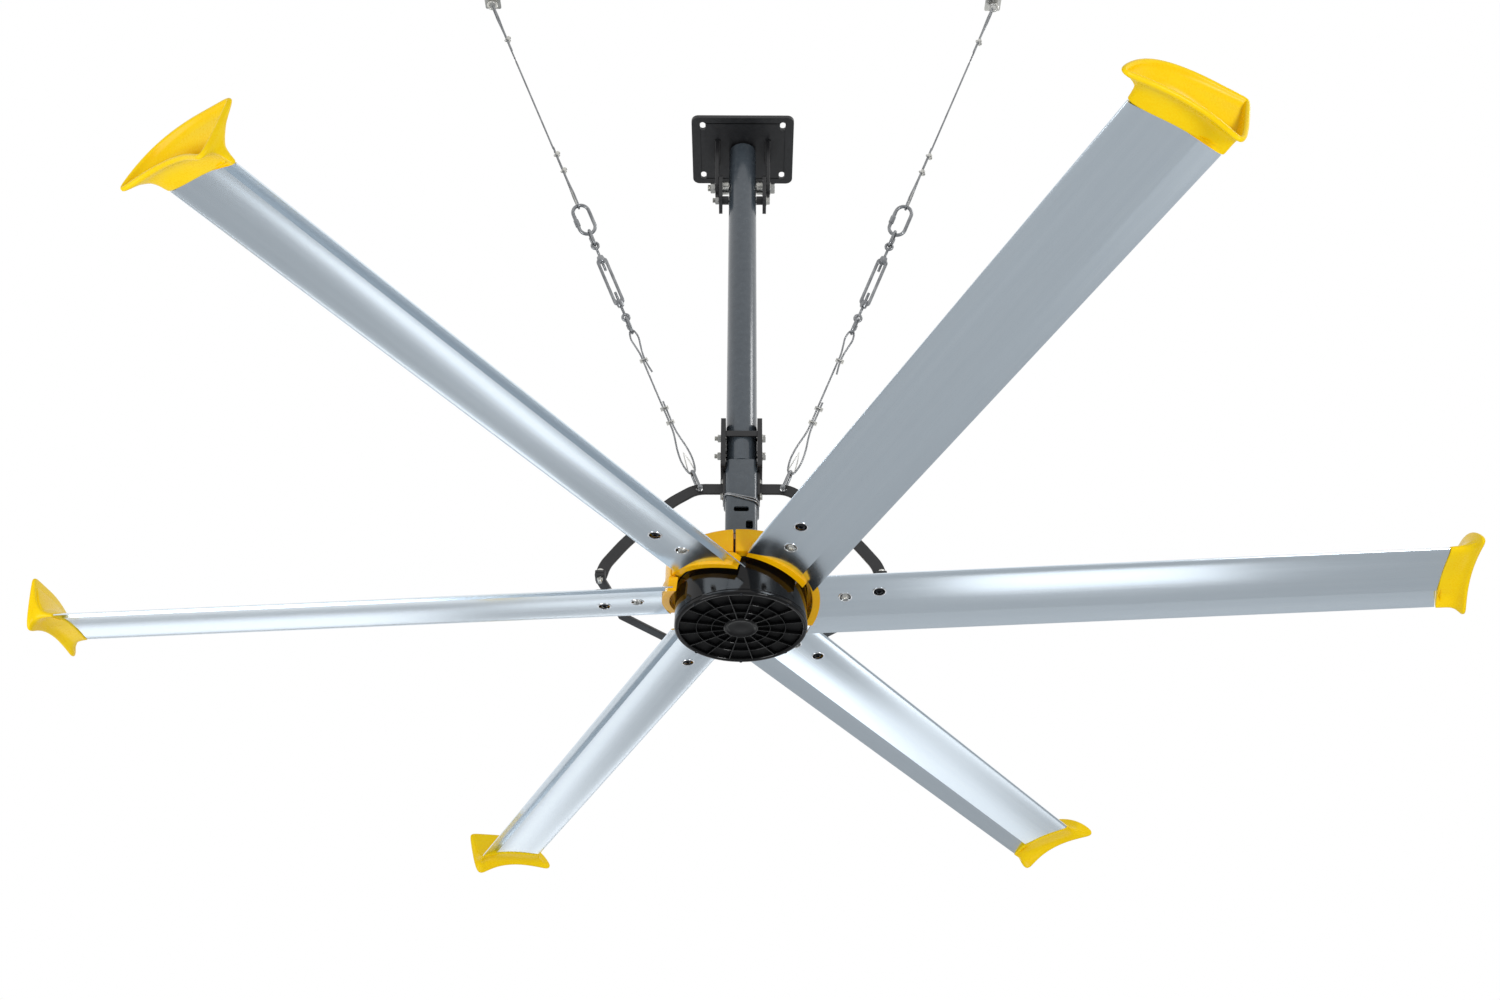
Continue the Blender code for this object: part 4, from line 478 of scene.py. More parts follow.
def bolt(radius, grip):
    """A hexagon bolt along Z with a washer under its head at the top, and its nut at the bottom.
    The grip lies between Z = 0 and Z = -grip."""
    head = radius * 1.3
    corner = radius * 1.6
    ring = washer(corner * 1.18, radius * 0.24, 32, radius * 0.06)
    return join([moved(hexagon_solid(corner, head), at(0, 0, head / 2 + radius * 0.1)),
                 moved(rod(radius, grip + head), at(0, 0, -grip / 2)),
                 moved(ring, at(0, 0, radius * 0.06)),
                 moved(hexagon_solid(corner, head), at(0, 0, -grip - head / 2 - radius * 0.05)),
                 moved(threaded(radius, head * 0.1 + 0.006), at(0, 0, -grip - head))])


def put(item, name, body, finish, stands_for=(), place=None):
    """Names a piece, sets it in its place, gives it its finish, and lets it ride on a body."""
    settle(item)
    if place:
        item.data.transform(place)
    item.name = name
    item.data.name = name
    item.data.materials.clear()
    item.data.materials.append(finish)
    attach(item, body)
    if stands_for:
        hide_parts(*stands_for)
    return item


# Guy wires. Each side's frame has Z up the wire, from the arm's eye hole to the ceiling anchor.

# Fittings as (length, width, bar radius)
LINK = (0.036, 0.016, 0.0028)
SHACKLE = (0.040, 0.026, 0.0028)
CARABINER = (0.068, 0.034, 0.0038)
TURNBUCKLE_HALF, TURNBUCKLE_WIDTH, TURNBUCKLE_THICKNESS = 0.060, 0.024, 0.0066
TURNBUCKLE_HUB = ((0, -0.007), (0.0064, -0.007), (0.0077, -0.0045), (0.0077, 0.0030), (0.0066, 0.007),
                  (0, 0.007))
EYE_REACH, EYE_RING, EYE_BAR, EYE_PITCH = 0.026, 0.0068, 0.003, 0.0016
HOOK_CLEARANCE = 0.0006
ROPE_LAY = 0.026             # length of one turn of the strands
ROUTE_STEP = 0.003
CLIP_REACH, CLIP_BAR = 0.0052, 0.0011
THIMBLE_WIDTH, THIMBLE_LENGTH, THIMBLE_BAR, THIMBLE_LIFT = 0.0066, 0.046, 0.0012, 0.0008

LOWER_TAIL = [(0.0, 0.0), (-0.0050, 0.0022), (-0.0092, 0.011), (-0.0120, 0.032), (-0.0100, 0.058),
              (-0.0048, 0.085), (-STRAND, 0.105), (-STRAND, 0.135), (-STRAND, 0.165)]
LOWER_RUN = [(0.0, 0.0), (0.0050, 0.0022), (0.0092, 0.011), (0.0120, 0.032), (0.0100, 0.058),
             (0.0048, 0.085), (STRAND, 0.105), (STRAND, 0.150), (STRAND, 0.200), (STRAND, 0.250),
             (STRAND, 0.275), (0.0055, 0.295), (0.0082, 0.312), (0.0062, 0.325), (0.0036, 0.3297),
             (0.0, 0.331), (-0.0036, 0.3297), (-0.0062, 0.325), (-0.0082, 0.312), (-0.0055, 0.295),
             (-STRAND, 0.275), (-STRAND, 0.255), (-0.0060, 0.232)]
LOWER_TOP = 0.331
LOWER_CLIPS = (0.118, 0.150, 0.262)
UPPER_TAIL = [(0.0, 0.0), (-0.0046, 0.0019), (-0.0068, 0.0066), (-0.0088, 0.018), (-0.0090, 0.034),
              (-0.0048, 0.056), (-STRAND, 0.078), (-STRAND, 0.110), (-STRAND, 0.150)]
UPPER_RUN = [(0.0, 0.0), (0.0046, 0.0019), (0.0068, 0.0066), (0.0088, 0.018), (0.0090, 0.034),
             (0.0048, 0.056), (STRAND, 0.078), (STRAND, 0.110), (STRAND, 0.150)]
ANCHOR_LOOP = [(STRAND, 0.140), (STRAND, 0.100), (STRAND, 0.070), (0.0050, 0.050), (0.0082, 0.030),
               (0.0062, 0.006), (0.0036, 0.0013), (0.0, 0.0), (-0.0036, 0.0013), (-0.0062, 0.006),
               (-0.0082, 0.030), (-0.0050, 0.050), (-STRAND, 0.070), (-STRAND, 0.095), (-STRAND, 0.115)]
UPPER_CLIPS = (0.092, 0.132)
ANCHOR_CLIP = 0.086


def guy_frame(side):
    """Z runs up the wire. X is the eye hole's own axis, as nearly as it can lie square to the wire."""
    start = Vector((side * EYE_HOLE_REACH, 0, FRAME_LEVEL))
    end = Vector((side * ANCHOR_REACH_X, ANCHOR_REACH_Y, ANCHOR_LEVEL))
    up = (end - start).normalized()
    eye = Vector((0, 1, 0))
    square = (eye - up * eye.dot(up)).normalized()
    turn = Matrix((square, up.cross(square), up)).transposed().to_4x4()
    return Matrix.Translation(start) @ turn, (end - start).length


def hooked(lower_end, upper_radius, lower_radius):
    """Where an end bend lies when it hangs in the bend below it."""
    return lower_end - (upper_radius + lower_radius + HOOK_CLEARANCE)


def smooth_route(points):
    """Points read from a smooth curve through the route's own points."""
    padded = [points[0]] + list(points) + [points[-1]]
    read = []
    for before, start, end, after in zip(padded, padded[1:], padded[2:], padded[3:]):
        count = max(1, round(math.dist(start, end) / ROUTE_STEP))
        for i in range(count):
            t = i / count
            read.append(tuple(0.5 * (2 * b + (c - a) * t + (2 * a - 5 * b + 4 * c - d) * t ** 2
                                     + (3 * b - a - 3 * c + d) * t ** 3)
                              for a, b, c, d in zip(before, start, end, after)))
    read.append(tuple(points[-1]))
    return read


def strand_section():
    """Six outer strands, seen as lobes round the rope."""
    points = []
    for i in range(36):
        angle = 2 * math.pi * i / 36
        radius = WIRE_RADIUS * (0.90 + 0.11 * abs(math.cos(3 * angle)))
        points.append((radius * math.cos(angle), radius * math.sin(angle), 0))
    return points


def rope(points):
    """Laid steel rope along points, its strands turning with the lay."""
    section = bpy.data.curves.new("strands", "CURVE")
    section.dimensions = "2D"
    spline = section.splines.new("POLY")
    lobes = strand_section()
    spline.points.add(len(lobes) - 1)
    for point, spot in zip(spline.points, lobes):
        point.co = (*spot, 1)
    spline.use_cyclic_u = True
    die = bpy.data.objects.new("strands", section)
    curve = bpy.data.curves.new("rope", "CURVE")
    curve.dimensions = "3D"
    curve.bevel_mode = "OBJECT"
    curve.bevel_object = die
    curve.use_fill_caps = True
    line = curve.splines.new("POLY")
    line.points.add(len(points) - 1)
    run = 0.0
    for i, (point, spot) in enumerate(zip(line.points, points)):
        run += math.dist(spot, points[i - 1]) if i else 0.0
        point.co = (*spot, 1)
        point.tilt = 2 * math.pi * run / ROPE_LAY
    item = bpy.data.objects.new("rope", curve)
    bpy.context.collection.objects.link(item)
    only(item)
    bpy.ops.object.convert(target="MESH")
    bpy.data.objects.remove(die)
    return smooth(bpy.context.object, 50)


def rope_clip():
    """A wire rope clip: a grooved saddle, a U-bolt over both strands and its two nuts."""
    saddle = soften(plate([rounded_rectangle(0.017, 0.0066, 0.0015, 4)], 0.0070), 0.0008, 2)
    crown = [(CLIP_REACH * x, 0.0006 + 0.0046 * y, 0) for x, y in arc(1, 0, 1, 8)]
    bow = [(CLIP_REACH, -0.0080, 0)] + crown + [(-CLIP_REACH, -0.0080, 0)]
    nuts = copies(hexagon_solid(0.0026, 0.0022), [at(end * CLIP_REACH, -0.0068, 0) @ ON_Y for end in (-1, 1)])
    return join([moved(saddle, at(0, -0.0026, 0)), tube(bow, CLIP_BAR)] + nuts)


def thimble(lift):
    """A grooved teardrop that keeps the rope's loop open, its round end at zero."""
    points = [(x, 0, z) for x, z in arc(THIMBLE_WIDTH, 1, 2, 16, (0, THIMBLE_WIDTH))]
    points += [(THIMBLE_WIDTH * 0.55, 0, THIMBLE_LENGTH * 0.6), (0.0008, 0, THIMBLE_LENGTH),
               (-THIMBLE_WIDTH * 0.55, 0, THIMBLE_LENGTH * 0.6)]
    return moved(tube(points, THIMBLE_BAR, True, 2), at(0, 0, lift))


def link(size):
    """A quick link: a long ring closed by a sleeve nut on one side."""
    length, width, radius = size
    ring = tube(oval(length, width), radius, True)
    sleeve = moved(hexagon_solid(radius * 1.65, length * 0.30), at(width / 2, 0, 0))
    return join([ring, sleeve])


def shackle(size):
    """A bow shackle: the pin passes through the eye at the bottom, and the bow stands up from its lugs."""
    length, width, radius = size
    half = width / 2
    bow = [(half, 0, -length / 2 + radius)] + oval(length, width)[:13] + [(-half, 0, -length / 2 + radius)]
    pin = moved(rod(radius, width + 5 * radius, 24), at(0, 0, -length / 2) @ ON_X)
    lug = soften(rod(radius * 1.9, radius * 1.7, 32), radius * 0.3, 2)
    lugs = copies(lug, [at(end * half, 0, -length / 2) @ ON_X for end in (-1, 1)])
    nut = moved(hexagon_solid(radius * 1.7, radius * 1.2), at(half + radius * 2.6, 0, -length / 2) @ ON_X)
    return join([tube(bow, radius), soften(pin, radius * 0.2, 2)] + lugs + [nut])


def carabiner(size):
    """An oval hook with a sprung gate and its locking sleeve."""
    length, width, radius = size
    ring = tube(oval(length, width, 16), radius, True, 5)
    gate = soften(rod(radius * 1.06, length * 0.44, 32), radius * 0.2, 2)
    sleeve = soften(rod(radius * 1.45, length * 0.24, 40), radius * 0.3, 3)
    return join([ring, moved(gate, at(width / 2, 0, 0)), moved(sleeve, at(width / 2, 0, -length * 0.05))])


def turnbuckle():
    """A forged open body with an eyebolt screwed into each end."""
    half = TURNBUCKLE_HALF
    outer = rounded_rectangle(TURNBUCKLE_WIDTH, 2 * half - 0.010, 0.008, 8)
    inner = rounded_rectangle(0.0112, 2 * half - 0.030, 0.0054, 8)
    parts = [soften(moved(plate([outer, inner], TURNBUCKLE_THICKNESS), ON_Y), 0.0022, 4)]
    inside = half - 0.034
    for end in (-1, 1):
        hub = smooth(turned(TURNBUCKLE_HUB, 40), 25)
        parts.append(moved(hub, at(0, 0, end * (half - 0.007)) @ Matrix.Diagonal((1, 1, end, 1))))
        shank = threaded(EYE_BAR, half + EYE_REACH - EYE_RING - inside, EYE_PITCH)
        parts.append(moved(shank, at(0, 0, end * inside) @ (ON_X @ ON_X if end > 0 else Matrix())))
        eye = tube(oval(2 * EYE_RING, 2 * EYE_RING, 16), EYE_BAR, True, 5)
        parts.append(moved(eye, at(0, 0, end * (half + EYE_REACH))))
    return face_outwards(join(parts))


def lay_wire(ending, route, tail, clips, start, place):
    """One wire with its dead end, its clips and its thimble."""
    run = [place @ Vector((x, 0, z)) for x, z in smooth_route(route)]
    wire = put(rope([tuple(point) for point in run]), "rope_" + ending, "suspension", GALVANISED,
               ["guy_wire_" + ending])
    end = rope([(x, 0, z) for x, z in smooth_route(tail)])
    grips = join(copies(rope_clip(), [at(0, 0, station) for station in clips]))
    eye = thimble(start + WIRE_RADIUS + THIMBLE_LIFT)
    put(end, "rope_tail_" + ending, "suspension", GALVANISED, (), place)
    put(grips, "rope_clips_" + ending, "suspension", ZINC, (), place)
    put(eye, "thimble_" + ending, "suspension", ZINC, (), place)


def hang_fittings(name, guy, patterns):
    """Hooks the fittings into each other up one wire, and returns where its two ropes start."""
    def fit(pattern, kind, level, turn=Matrix()):
        put(copy_of(patterns[pattern]), kind + "_fitting_" + name, "suspension", GALVANISED,
            [kind + "_" + name], guy @ at(0, 0, level) @ turn)

    seat = (EYE_HOLE_RADIUS - SHACKLE[2]) / 6
    fit("shackle", "shackle", seat + SHACKLE[0] / 2)
    lower_start = hooked(seat + SHACKLE[0], WIRE_RADIUS, SHACKLE[2])
    link_start = hooked(lower_start + LOWER_TOP, LINK[2], WIRE_RADIUS)
    fit("link", "lower_link", link_start + LINK[0] / 2)
    half = TURNBUCKLE_HALF + EYE_REACH + EYE_RING
    middle = hooked(link_start + LINK[0], EYE_BAR, LINK[2]) + half
    fit("turnbuckle", "turnbuckle", middle, QUARTER)
    link_start = hooked(middle + half, LINK[2], EYE_BAR)
    fit("link", "upper_link", link_start + LINK[0] / 2)
    hook_start = hooked(link_start + LINK[0], CARABINER[2], LINK[2])
    fit("carabiner", "carabiner", hook_start + CARABINER[0] / 2, QUARTER)
    return lower_start, hooked(hook_start + CARABINER[0], WIRE_RADIUS, CARABINER[2])


def ceiling_anchor(name, side, guy):
    base = soften(plate([rounded_rectangle(ANCHOR_SIDE, ANCHOR_SIDE, 0.004)], ANCHOR_THICKNESS), 0.0006, 2)
    moved(base, at(side * ANCHOR_REACH_X, ANCHOR_REACH_Y, -ANCHOR_THICKNESS / 2))
    ring = tube(oval(ANCHOR_RING, ANCHOR_RING, 16), LINK[2], True)
    moved(ring, at(side * ANCHOR_REACH_X, ANCHOR_REACH_Y, ANCHOR_LEVEL) @ guy.to_3x3().to_4x4() @ QUARTER)
    put(join([base, ring]), "anchor_eye_" + name, "suspension", ZINC, ["ceiling_anchor_" + name])


def hang_wires():
    patterns = {"shackle": shackle(SHACKLE), "link": link(LINK), "turnbuckle": turnbuckle(),
                "carabiner": carabiner(CARABINER)}
    for name, side in SIDES:
        guy, reach = guy_frame(side)
        low, high = hang_fittings(name, guy, patterns)
        loop_end = reach - ANCHOR_RING / 2 + LINK[2] + WIRE_RADIUS + HOOK_CLEARANCE
        upper_run = shifted(UPPER_RUN, 0, high) + [(x, loop_end - z) for x, z in ANCHOR_LOOP]
        upper_clips = [high + z for z in UPPER_CLIPS] + [loop_end - ANCHOR_CLIP]
        lay_wire("lower_" + name, shifted(LOWER_RUN, 0, low), shifted(LOWER_TAIL, 0, low),
                 [low + z for z in LOWER_CLIPS], low, guy @ QUARTER)
        lay_wire("upper_" + name, upper_run, shifted(UPPER_TAIL, 0, high), upper_clips, high, guy)
        ceiling_anchor(name, side, guy)
    for pattern in patterns.values():
        bpy.data.objects.remove(pattern)


hang_wires()


# Ceiling bracket, swivel and downrod

BEAD_RADIUS, BEAD_HALF, BEAD_LEVEL = 0.0030, 0.036, -0.0102
EAR_PLAY = 0.001
WASHER_COUNT, WASHER_PITCH, WASHER_THICKNESS = 6, 0.0024, 0.0021
WASHER_RADIUS, WASHER_BORE = 0.0158, 0.0122


def ear_loop():
    half = EAR_HALF_WIDTH
    round_end = arc(EAR_ROUND, 1, 2, 20)
    return ([(-half, EAR_HEIGHT), (-half, EAR_SHOULDER)] + round_end
            + [(half, EAR_SHOULDER), (half, EAR_HEIGHT)])


def weld_bead(start, end, radius):
    """A hand-laid weld: a row of overlapping ripples."""
    start, end = Vector(start), Vector(end)
    count = max(4, int((end - start).length / (radius * 0.9)))
    points = [start.lerp(end, i / (count * 2)) for i in range(count * 2 + 1)]
    bead = tube([tuple(point) for point in points], radius, False, 3)
    along = (end - start).normalized()
    for corner in bead.data.vertices:
        run = (corner.co - start).dot(along)
        axis = start + along * run
        ripple = math.cos(2 * math.pi * run / (end - start).length * count)
        corner.co = axis + (corner.co - axis) * (1 + 0.10 * ripple)
    return bead


def ceiling_mount():
    slot = rounded_rectangle(SLOT_WIDTH, SLOT_LENGTH, SLOT_CORNER, 8)
    loops = [rounded_rectangle(PLATE_LENGTH, PLATE_WIDTH, PLATE_CORNER, 10)]
    reach_x, reach_y = PLATE_LENGTH / 2 - SLOT_INSET, PLATE_WIDTH / 2 - SLOT_INSET
    loops += [shifted(slot, x * reach_x, y * reach_y) for x in (-1, 1) for y in (-1, 1)]
    parts = [moved(soften(plate(loops, PLATE_THICKNESS), 0.0012), at(0, 0, -PLATE_THICKNESS / 2))]
    inner = ROD_RADIUS + SPACER_LENGTH + CHEEK_THICKNESS + GAP + EAR_PLAY
    ear = soften(plate([ear_loop(), circle(PIVOT_BOLT_RADIUS + BOLT_CLEARANCE)], EAR_THICKNESS), 0.0010)
    parts += copies(ear, [at(side * (inner + EAR_THICKNESS / 2), 0, PIVOT_LEVEL) @ SECTION_TURN
                          for side in (-1, 1)])
    for x in (inner, inner + EAR_THICKNESS, -inner, -inner - EAR_THICKNESS):
        parts.append(weld_bead((x, -BEAD_HALF, BEAD_LEVEL), (x, BEAD_HALF, BEAD_LEVEL), BEAD_RADIUS))
    put(join(parts), "welded_bracket", "bracket", BLACK_COAT, ["ceiling_bracket"])
    reach = inner + EAR_THICKNESS + GAP
    put(bolt(PIVOT_BOLT_RADIUS, 2 * reach), "pivot_bolt", "bracket", ZINC, ["swivel_bolt"],
        at(reach, 0, PIVOT_LEVEL) @ ON_X)


def swivel_cheeks():
    middle = PIVOT_LEVEL + (CHEEK_RISE - CHEEK_DROP) / 2
    reach = ROD_RADIUS + SPACER_LENGTH + GAP + CHEEK_THICKNESS / 2
    seats = [(PIVOT_LEVEL, PIVOT_BOLT_RADIUS + BOLT_CLEARANCE),
             (PIVOT_LEVEL - CHEEK_BOLT_DROP, CHEEK_BOLT_RADIUS + BOLT_CLEARANCE)]
    for name, side in SIDES:
        holes = [circle(hole, 24, (0, level - middle)) for level, hole in seats]
        face = rounded_rectangle(CHEEK_WIDTH, CHEEK_RISE + CHEEK_DROP, 0.010)
        cheek = soften(plate([face] + holes, CHEEK_THICKNESS), 0.0010)
        parts = [moved(cheek, at(side * reach, 0, middle) @ SECTION_TURN)]
        for level, hole in seats:
            boss = soften(plate([circle(hole + BOSS_WALL, 40), circle(hole, 24)], SPACER_LENGTH), 0.0005, 2)
            parts.append(moved(boss, at(side * (ROD_RADIUS + GAP + SPACER_LENGTH / 2), 0, level) @ ON_X))
        put(join(parts), "swivel_cheek_" + name, "suspension", BLACK_COAT, ["cheek_" + name])
        ring = plate([circle(WASHER_RADIUS, 40), circle(WASHER_BORE, 32)], WASHER_THICKNESS)
        spots = [side * (ROD_RADIUS + WASHER_THICKNESS + WASHER_PITCH * i) for i in range(WASHER_COUNT)]
        stack = copies(soften(ring, 0.0006, 2), [at(x, 0, PIVOT_LEVEL) @ ON_X for x in spots])
        put(join(stack), "pivot_washers_" + name, "suspension", ZINC)
    reach = ROD_RADIUS + SPACER_LENGTH + CHEEK_THICKNESS + 2 * GAP
    put(bolt(CHEEK_BOLT_RADIUS, 2 * reach), "lower_cheek_bolt", "suspension", ZINC, ["cheek_bolt"],
        at(reach, 0, PIVOT_LEVEL - CHEEK_BOLT_DROP) @ ON_X)


def steel_tube():
    wall = plate([circle(ROD_RADIUS, 96), circle(ROD_RADIUS - ROD_WALL, 64)], ROD_TOP - ROD_BOTTOM)
    put(soften(wall, 0.0006, 2), "steel_tube", "suspension", GREY_COAT, ["downrod"],
        at(0, 0, (ROD_TOP + ROD_BOTTOM) / 2))


ceiling_mount()
swivel_cheeks()
steel_tube()


# Coupling clamp and lower mast

# Windows in the mast's front as (middle x, level, width, height)
MAST_WINDOWS = ((0, -1.078, 0.030, 0.012), (0.016, -1.116, 0.014, 0.020))
WINDOW_CORNER, WINDOW_DEPTH = 0.004, 0.012
FILLET_RADIUS, FILLET_LIFT = 0.0028, 0.0004


def coupling():
    middle = (CLAMP_TOP + CLAMP_BOTTOM) / 2
    inner = MAST_SIDE / 2 + GAP
    width = 2 * (ROD_RADIUS + GAP + STRAP_THICKNESS + STRAP_MARGIN)
    levels = [CLAMP_TOP - drop for drop in CLAMP_BOLT_DROPS]
    for name, side in SIDES:
        holes = [circle(CLAMP_BOLT_RADIUS + BOLT_CLEARANCE, 24, (0, level - middle)) for level in levels]
        face = rounded_rectangle(width, CLAMP_TOP - CLAMP_BOTTOM, 0.006)
        half = soften(plate([face] + holes, CLAMP_THICKNESS), 0.0010)
        moved(half, at(side * (inner + CLAMP_THICKNESS / 2), 0, middle) @ SECTION_TURN)
        strap = soften(block(2 * inner - GAP, STRAP_THICKNESS, STRAP_HEIGHT), 0.0008, 2)
        moved(strap, at(0, side * (ROD_RADIUS + GAP + STRAP_THICKNESS / 2), CLAMP_TOP - STRAP_DROP))
        put(join([half, strap]), "clamp_half_" + name, "suspension", BLACK_COAT, ["clamp_" + name])
    reach = inner + CLAMP_THICKNESS + GAP
    places = [at(reach, 0, level) @ ON_X for level in levels]
    for name, item in zip(("upper", "lower"), copies(bolt(CLAMP_BOLT_RADIUS, 2 * reach), places)):
        put(item, "coupling_bolt_" + name, "suspension", ZINC, ["clamp_bolt_" + name])


def mast():
    bore, corner = MAST_SIDE - 2 * MAST_WALL, MAST_CORNER - MAST_WALL
    wall = plate([rounded_rectangle(MAST_SIDE, MAST_SIDE, MAST_CORNER, 10),
                  rounded_rectangle(bore, bore, corner, 10)], MAST_TOP - MAST_FLANGE_TOP)
    body = moved(soften(wall, 0.0008, 2), at(0, 0, (MAST_TOP + MAST_FLANGE_TOP) / 2))
    for x, level, width, height in MAST_WINDOWS:
        window = plate([rounded_rectangle(width, height, WINDOW_CORNER, 6)], WINDOW_DEPTH)
        boolean(body, moved(window, at(x, -MAST_SIDE / 2, level) @ ON_Y))
    spots = [place.to_translation() for place in around(FLANGE_BOLT_COUNT, at(FLANGE_BOLT_CIRCLE, 0, 0), 0.5)]
    holes = [circle(FLANGE_BOLT_RADIUS + BOLT_CLEARANCE, 20, (spot.x, spot.y)) for spot in spots]
    rings = [circle(FLANGE_RADIUS, 80), circle(FLANGE_BORE, 32)]
    flange = soften(plate(rings + holes, MAST_FLANGE_TOP - MAST_BOTTOM), 0.0010)
    moved(flange, at(0, 0, (MAST_FLANGE_TOP + MAST_BOTTOM) / 2))
    loop = [(x, y, MAST_FLANGE_TOP + FILLET_LIFT)
            for x, y in rounded_rectangle(MAST_SIDE, MAST_SIDE, MAST_CORNER, 6)]
    weld = tube(loop, FILLET_RADIUS, True, 3)
    put(join([body, flange, weld]), "square_mast", "suspension", GREY_COAT, ["lower_mast"])


def flange_nuts():
    """The nuts on the studs that hold the motor's shaft to the mast."""
    nut = seated_head((0.0066, 0.0054, 0.0035), (0.0078, 0.0010, 0.0006), sides=32, rounding=0.0002)
    places = around(FLANGE_BOLT_COUNT, at(FLANGE_BOLT_CIRCLE, 0, MAST_FLANGE_TOP), 0.5)
    put(join(copies(nut, places)), "flange_nuts", "suspension", ZINC)


coupling()
mast()
flange_nuts()


# Motor shell and its ribbed cover

# Outlines as steps (inset from the drum's radius, drop from a level)
DRUM_EDGE = ((0.007, 0), (0.0035, 0.0008), (0.0008, 0.0030), (0, 0.006))
DRUM_GROOVE = ((0, -0.0032), (0.0010, -0.0026), (0.0016, -0.0016), (0.0010, -0.0006), (0, 0))
GROOVE_RISE = 0.018
COVER_EDGE = ((0, -0.003), (0.0010, -0.0010), (0.003, 0), (0.0068, 0), (0.0082, -0.0008))
# Steps of a cover ring (half width, height above the cover's bottom), and of its crown (inset, height)
RING_STEPS = ((0.0012, 0.0022), (0.0006, 0.0012), (-0.0006, 0.0012), (-0.0012, 0.0022))
CROWN_STEPS = ((0.0004, 0.0026), (0.0018, 0.0008), (0.0044, 0), (0.0064, 0.0010), (0.0072, 0.0024),
               (0.0100, 0.0034))
COVER_RING_RADII, COVER_RING_HALF = (0.0850, 0.0560), 0.0013
COVER_RIM, PANEL_DROP, RIB_WIDTH, RIB_LIFT, RIB_OVERLAP = 0.0095, 0.0014, 0.0024, 0.0010, 0.006
RIB_COUNT, SCREW_COUNT, SCREW_INSET = 16, 8, 0.0048


def motor_drum():
    groove = BLADE_LEVEL + GROOVE_RISE
    inner, lid = DRUM_RADIUS - DRUM_WALL, DRUM_TOP - DRUM_WALL
    profile = [(DRUM_SEAT, DRUM_TOP)]
    profile += [(DRUM_RADIUS - inset, DRUM_TOP - drop) for inset, drop in DRUM_EDGE]
    profile += [(DRUM_RADIUS - inset, groove - drop) for inset, drop in DRUM_GROOVE]
    profile += [(DRUM_RADIUS, DRUM_BOTTOM + 0.0012), (DRUM_RADIUS - 0.0012, DRUM_BOTTOM),
                (inner, DRUM_BOTTOM), (inner, lid), (DRUM_BOSS_RADIUS, lid),
                (DRUM_BOSS_RADIUS, DRUM_TOP - DRUM_BOSS_DROP), (DRUM_SEAT, DRUM_TOP - DRUM_BOSS_DROP)]
    put(smooth(turned(profile, 128, True), 28), "drum", "rotor", BLACK_NYLON, ["motor_shell"])


def ribbed_cover():
    floor, low = COVER_TOP - PANEL_DROP, COVER_BOTTOM
    rim, boss = DRUM_RADIUS - COVER_RIM, COVER_BOSS_RADIUS
    profile = [(rim, COVER_TOP - 0.0004), (DRUM_RADIUS - 0.001, COVER_TOP), (DRUM_RADIUS, COVER_TOP - 0.001)]
    profile += [(DRUM_RADIUS - inset, low - drop) for inset, drop in COVER_EDGE] + [(rim, low + 0.003)]
    parts = [smooth(turned(profile, 128, True), 40)]
    for middle in COVER_RING_RADII:
        ring = [(middle + COVER_RING_HALF, floor)]
        ring += [(middle + half, low + rise) for half, rise in RING_STEPS]
        parts.append(smooth(turned(ring + [(middle - COVER_RING_HALF, floor)], 96, True), 40))
    crown = [(boss, floor)] + [(boss - inset, low + rise) for inset, rise in CROWN_STEPS]
    parts.append(smooth(turned(crown + [(0.0120, low + 0.0022), (0, low + 0.0018)], 96), 50))
    rib = soften(block(rim - boss + RIB_OVERLAP, RIB_WIDTH, floor - low - RIB_LIFT), 0.0009, 3)
    parts += copies(rib, around(RIB_COUNT, at((rim + boss) / 2, 0, (floor + low + RIB_LIFT) / 2), 0.5))
    put(join(parts), "ribbed_cover", "rotor", BLACK_NYLON, ["bottom_cover"])
    panel = turned([(0, COVER_TOP), (rim + 0.002, COVER_TOP), (rim + 0.002, floor), (0, floor)], 96)
    put(smooth(panel, 40), "cover_panels", "rotor", MATT_NYLON)
    head = turned([(0, -0.0018), (0.0022, -0.0016), (0.0034, -0.0004), (0.0036, 0.0006), (0, 0.0006)], 24)
    heads = copies(head, around(SCREW_COUNT, at(DRUM_RADIUS - SCREW_INSET, 0, low)))
    put(smooth(join(heads), 40), "cover_screws", "rotor", BLACK_OXIDE)


motor_drum()
ribbed_cover()


# Blades

# The frame of a blade, seen from its holder's
BLADE_IN_HOLDER = at(0, BLADE_OFFSET, 0) @ Matrix.Rotation(-BLADE_PITCH, 4, "X")
BOLT_SPOTS = [(ROOT_RADIUS + FIRST_BOLT_IN + i * BLADE_BOLT_SPACING, -BLADE_OFFSET + (0.5 - i) * BOLT_STAGGER)
              for i in (0, 1)]
FLAP_SHARES = (0.7705, 0.778, 0.80, 0.84, 0.88, 0.92, 0.96, 0.985)
SLOPE_SHARE = 0.02
# The chamfer round an access hole, and a button head from its domed face up to its seat
HOLE_RIM = ((0.0110, 0.0012), (0.0130, 0.0004), (0.0134, -0.0003), (0.0130, -0.0010), (0.0120, -0.0013),
            (0.0110, -0.0009), (0.0106, 0.0012))
BUTTON_HEAD = ((0, -0.0062), (0.0046, -0.0060), (0.0072, -0.0044), (0.0086, -0.0016), (0.0087, 0), (0, 0))
SOCKET_RADIUS, SOCKET_DEPTH, BUTTON_WASHER_RADIUS = 0.0040, 0.005, 0.0128


def thickness_at(share):
    curve = 0.2969 * math.sqrt(share) - 0.1260 * share - 0.3516 * share ** 2
    curve += 0.2843 * share ** 3 - 0.1036 * share ** 4
    return 5 * BLADE_THICKNESS * curve


def camber_at(share):
    return 4 * BLADE_CAMBER_SHARE * BLADE_CHORD * share * (1 - share)


def upper_skin(share):
    return camber_at(share) + thickness_at(share)


